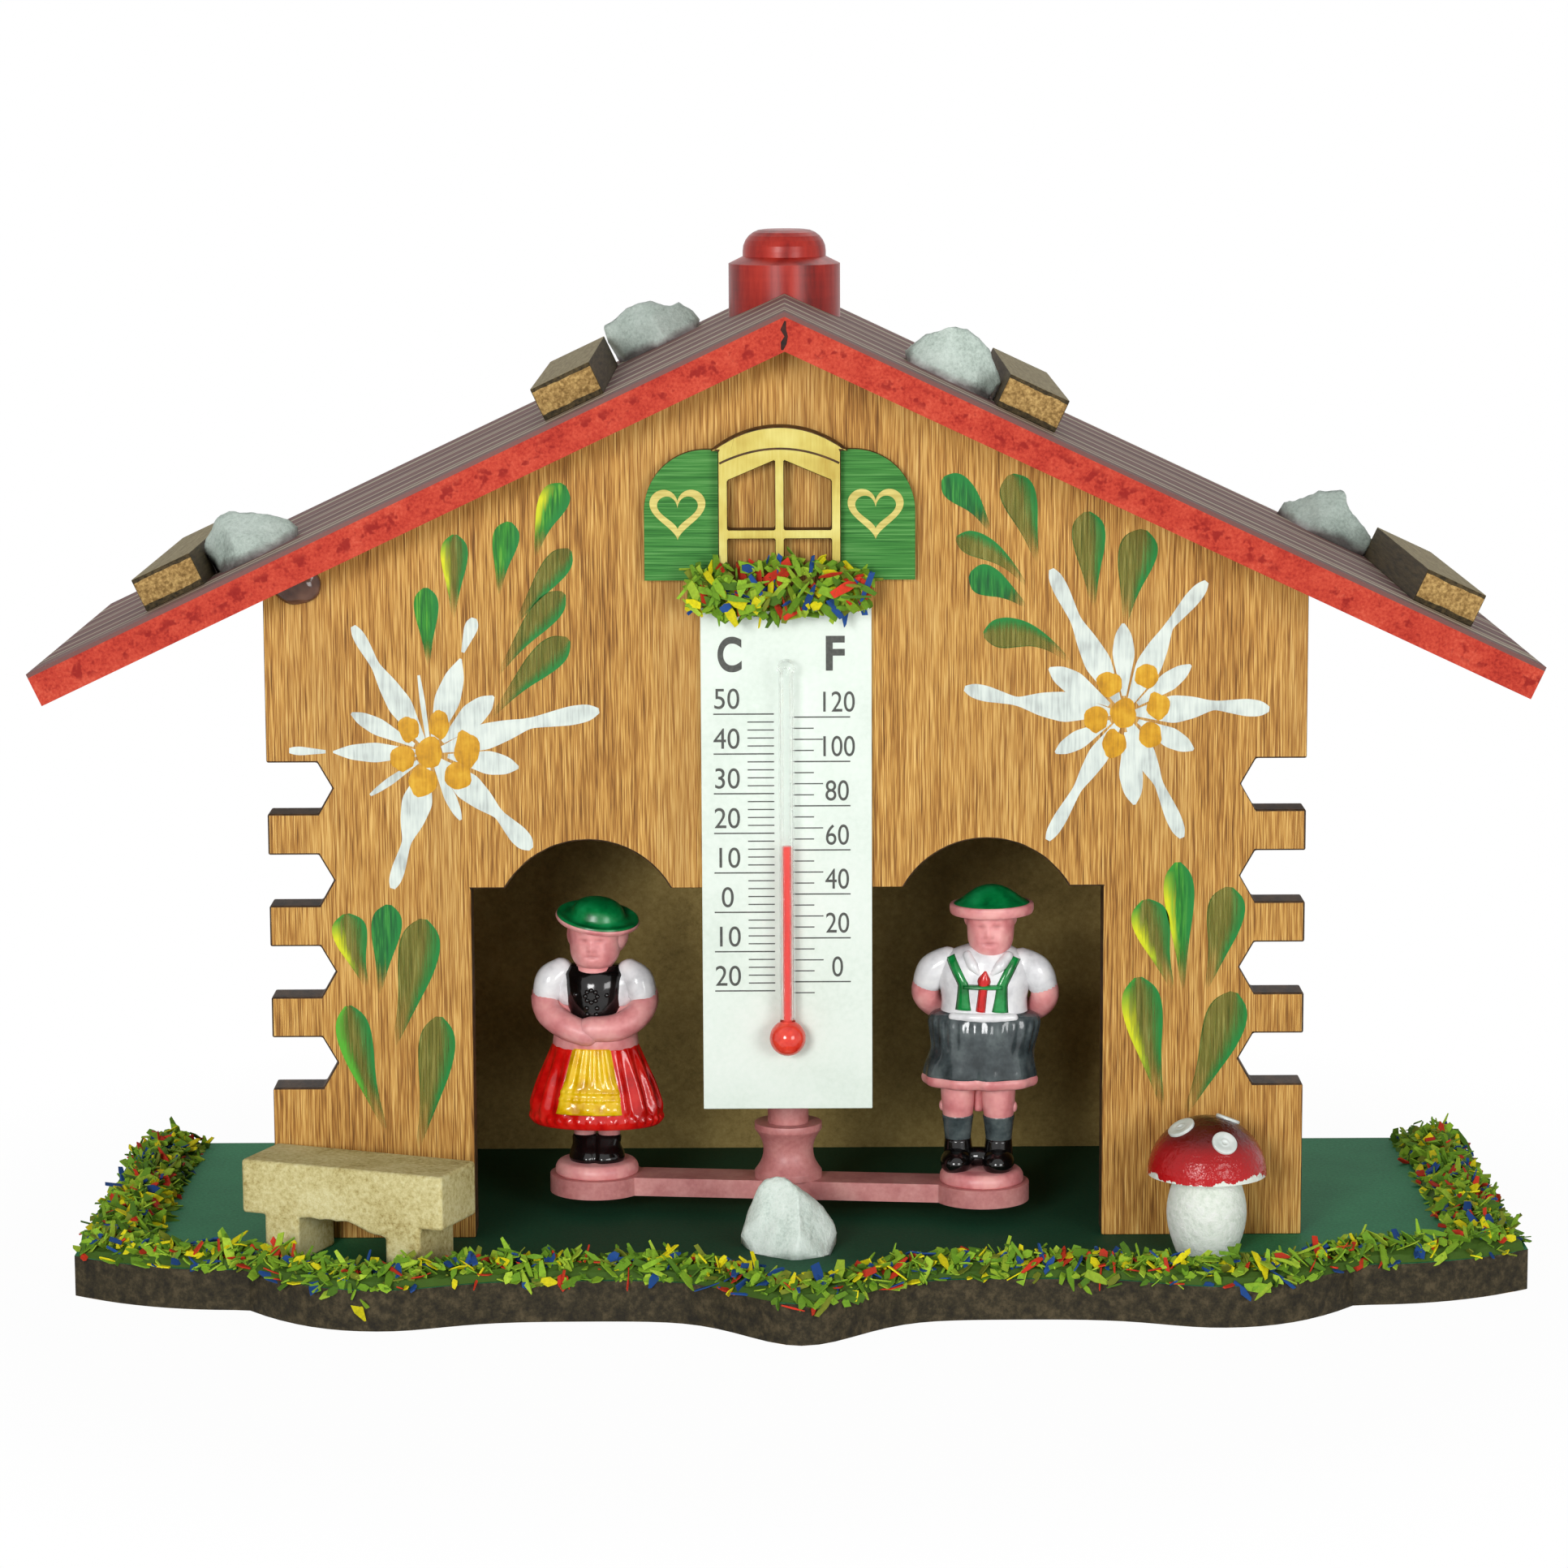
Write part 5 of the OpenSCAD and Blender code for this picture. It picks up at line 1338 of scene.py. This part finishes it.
# Turf: dyed wood flakes in green, yellow, red and blue, strewn on glue along the front and both ends.
# Some slivers stand up, and a few flakes have run over the edge with the glue.
BOARD_HALF, BOARD_X = 88.1, 1.5
HOUSE_HALF = 62.9
TURF_HALF, TURF_IN, TURF_POINTS = 86.3, 2.7, 121
END_X, END_IN, END_BACK = 83.5, 5.0, 34.6
RUNS = (-52, -30, -26, 3, 35, 58)
BED_GREEN = paint(62, 92, 28)[:3]


def reach(x):
    """Distance of the board's front edge from the house front, at a distance from the board's middle."""
    step, lobe = HOUSE_HALF + 3.4, HOUSE_HALF - 13.4
    if x > step:
        return 14.9 - 7.1 * ((x - step) / (BOARD_HALF - step)) ** 2.3
    if x > lobe:
        return 24.8 - 9.9 * ((x - lobe) / (step - lobe)) ** 2.2
    return 20.8 + 11.0 * hump(x / 9.3) + 4.0 * hump((x - lobe) / 9.5)


def bed(path, half, height, seed):
    """Low uneven bed of glue and crumbs along a path of (x, y), half as wide each side."""
    profile = [(s, math.sqrt(max(0.0, 1 - s * s))) for s in (-1, -0.8, -0.5, -0.15, 0.15, 0.5, 0.8, 1)]
    verts = []
    for i, (x, y) in enumerate(path):
        run = run_at(path, i)
        for s, h in profile:
            lump = 1 + 0.45 * noise.noise(Vector((x * 0.7, y * 0.7, s * 2 + seed)))
            verts.append((x - run.y * s * half, y + run.x * s * half, BOARD_TOP + 0.02 + height * h * lump))
        verts.append((x, y, BOARD_TOP - 0.1))
    return verts, skin(len(path), len(profile) + 1), [BED_GREEN] * len(verts)


def strewn(path, half, height, standing):
    """Places for flakes that lie or stand on a strip along a path."""

    def spot(rng):
        i = rng.uniform(0, len(path) - 1.001)
        k = int(i)
        x, y = between(path[k], path[k + 1], i - k)
        run = run_at(path[k:k + 2], 0)
        s = max(-1.1, min(1.1, rng.gauss(0, 0.62)))
        crown = math.sqrt(max(0.0, 1 - min(1.0, s * s)))
        z = BOARD_TOP + 0.15 + height * crown * rng.uniform(0.3, 1.05)
        at = Vector((x - run.y * s * half, y + run.x * s * half, z))
        if standing:
            turn = Matrix.Rotation(rng.uniform(-0.7, 0.7), 3, "Z")
            return at + Vector((0, 0, 0.8)), turn @ Matrix.Rotation(rng.uniform(1.1, 1.7), 3, "X")
        tilt = Matrix.Rotation(0.25 + rng.gauss(0, 0.4), 3, "X")
        return at, tilt @ Matrix.Rotation(rng.gauss(0, 0.35), 3, "Y")

    return spot


def over_edge(rng):
    """Place for a flake that hangs on the front edge."""
    x = rng.choice(RUNS) + rng.gauss(0, 2.6)
    y = FRONT - reach(abs(x - BOARD_X)) - rng.uniform(0.05, 0.4)
    at = Vector((x, y, BOARD_TOP + 0.6 - abs(rng.gauss(0, 0.9))))
    return at, Matrix.Rotation(1.4 + rng.gauss(0, 0.2), 3, "X")


def even_path(points):
    """The same path with its points about a millimetre apart."""
    return stretch(points, int(sum(math.dist(p, q) for p, q in zip(points, points[1:]))) + 2)


front_x = [TURF_HALF * (2 * i / (TURF_POINTS - 1) - 1) for i in range(TURF_POINTS)]
front_line = [(BOARD_X + x, FRONT - reach(abs(x)) + TURF_IN) for x in front_x]
end_y = FRONT - reach(END_X) + END_IN
for name, points, half, count, upright, seed in (
    ("front", front_line, 2.3, 2000, 150, 3),
    ("left", [(BOARD_X - END_X, end_y), (BOARD_X - END_X, END_BACK)], 3.9, 900, 18, 5),
    ("right", [(BOARD_X + END_X, end_y), (BOARD_X + END_X, END_BACK)], 3.9, 900, 18, 7),
):
    path = even_path(points)
    heap = [bed(path, half, 1.4, seed)]
    heap.append(heap_of_flakes(count, seed, strewn(path, half, 2.5, False), (1.1, 3.6), (0.6, 1.3)))
    heap.append(heap_of_flakes(upright, seed + 20, strewn(path, half, 2.2, True), (2.0, 4.6), (0.4, 0.9)))
    if name == "front":
        heap.append(heap_of_flakes(56, 9, over_edge, (1.2, 3.4), (0.6, 1.3)))
    verts, faces, dyes = gather(heap)
    strip = new_piece(f"turf_flakes_{name}", verts, faces, flakes, "house", "flakes", False)
    tint(strip, "dye", dyes)
    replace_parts(strip, f"turf_{name}")

# Floor, light and camera: a pale sweep under soft studio light, seen from the front and a little above.
# All round is plain white, also in gloss and through glass, with two soft lamps in front and one behind.
FLOOR_HALF = 60
MIDDLE = Vector((0.0, -0.01, 0.06))
LAMPS = (
    ("key", (-0.25, -0.74, 0.22), 0.22, 3.4), ("fill", (0.42, -0.66, 0.17), 0.28, 2.1),
    ("back", (0.1, 0.6, 0.7), 0.5, 0.9),
)
SENSOR = 36.0
FOCAL_PIXELS, PHOTO_PIXELS = 5829, 1932
EYE = (0.0001, -0.5811, 0.1498)
LOOKS_DOWN, LEANS = 8.902, 0.0047
WHITE = (1.0, 1.0, 1.0, 1.0)
SKY_LIGHT, FLOOR_WHITE = 0.22, 0.97


def plain_view(wire):
    """1 for what the camera sees straight, in gloss or through glass, and 0 for other light."""
    seen, glossy, through = (
        wire.node("LightPath", {}, {}, f"Is {kind} Ray") for kind in ("Camera", "Glossy", "Transmission")
    )
    return wire.sum("MAXIMUM", wire.sum("MAXIMUM", seen, glossy), through)


floor_mesh = bpy.data.meshes.new("floor")
corners = [(x * FLOOR_HALF, y * FLOOR_HALF, 0) for x, y in ((-1, -1), (1, -1), (1, 1), (-1, 1))]
floor_mesh.from_pydata(corners, [], [(0, 1, 2, 3)])
floor = bpy.data.objects.new("floor", floor_mesh)
bpy.context.scene.collection.objects.link(floor)
pale_floor, place = new_finish("pale_floor", 0.9, Base_Color=(0.92, 0.92, 0.92, 1.0))
away = place.node("VectorMath", {"operation": "LENGTH"}, {0: place}, "Value")
white = place.node("Emission", {}, {"Color": WHITE, "Strength": 1.0})
cover = plain_view(place) * (FLOOR_WHITE + (1 - FLOOR_WHITE) * ramp(away, 0.1, 0.14))
show(place.node("MixShader", {}, {0: cover, 1: own_shader(place), 2: white}))
floor_mesh.materials.append(pale_floor)
floor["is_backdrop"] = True

world = bpy.data.worlds.new("studio")
bpy.context.scene.world = world
world.use_nodes = True
background = world.node_tree.nodes["Background"]
background.inputs["Color"].default_value = WHITE
strength = SKY_LIGHT + (1 - SKY_LIGHT) * plain_view(Wire(world.node_tree, background.outputs[0]))
world.node_tree.links.new(strength.socket, background.inputs["Strength"])

for name, at, size, power in LAMPS:
    lamp = bpy.data.lights.new(name, "AREA")
    lamp.energy = power
    lamp.size = size
    holder = bpy.data.objects.new(name, lamp)
    holder.location = at
    holder.rotation_euler = (MIDDLE - Vector(at)).to_track_quat("-Z", "Y").to_euler()
    bpy.context.scene.collection.objects.link(holder)

camera = bpy.data.cameras.new("camera")
camera.sensor_width = SENSOR
camera.lens = SENSOR * FOCAL_PIXELS / PHOTO_PIXELS
camera.clip_start = 0.01
eye = bpy.data.objects.new("camera", camera)
eye.location = EYE
eye.rotation_euler = (math.radians(90 - LOOKS_DOWN), LEANS, 0.0)
bpy.context.scene.collection.objects.link(eye)
bpy.context.scene.camera = eye
bpy.context.scene.view_settings.view_transform = "Standard"

low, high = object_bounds()
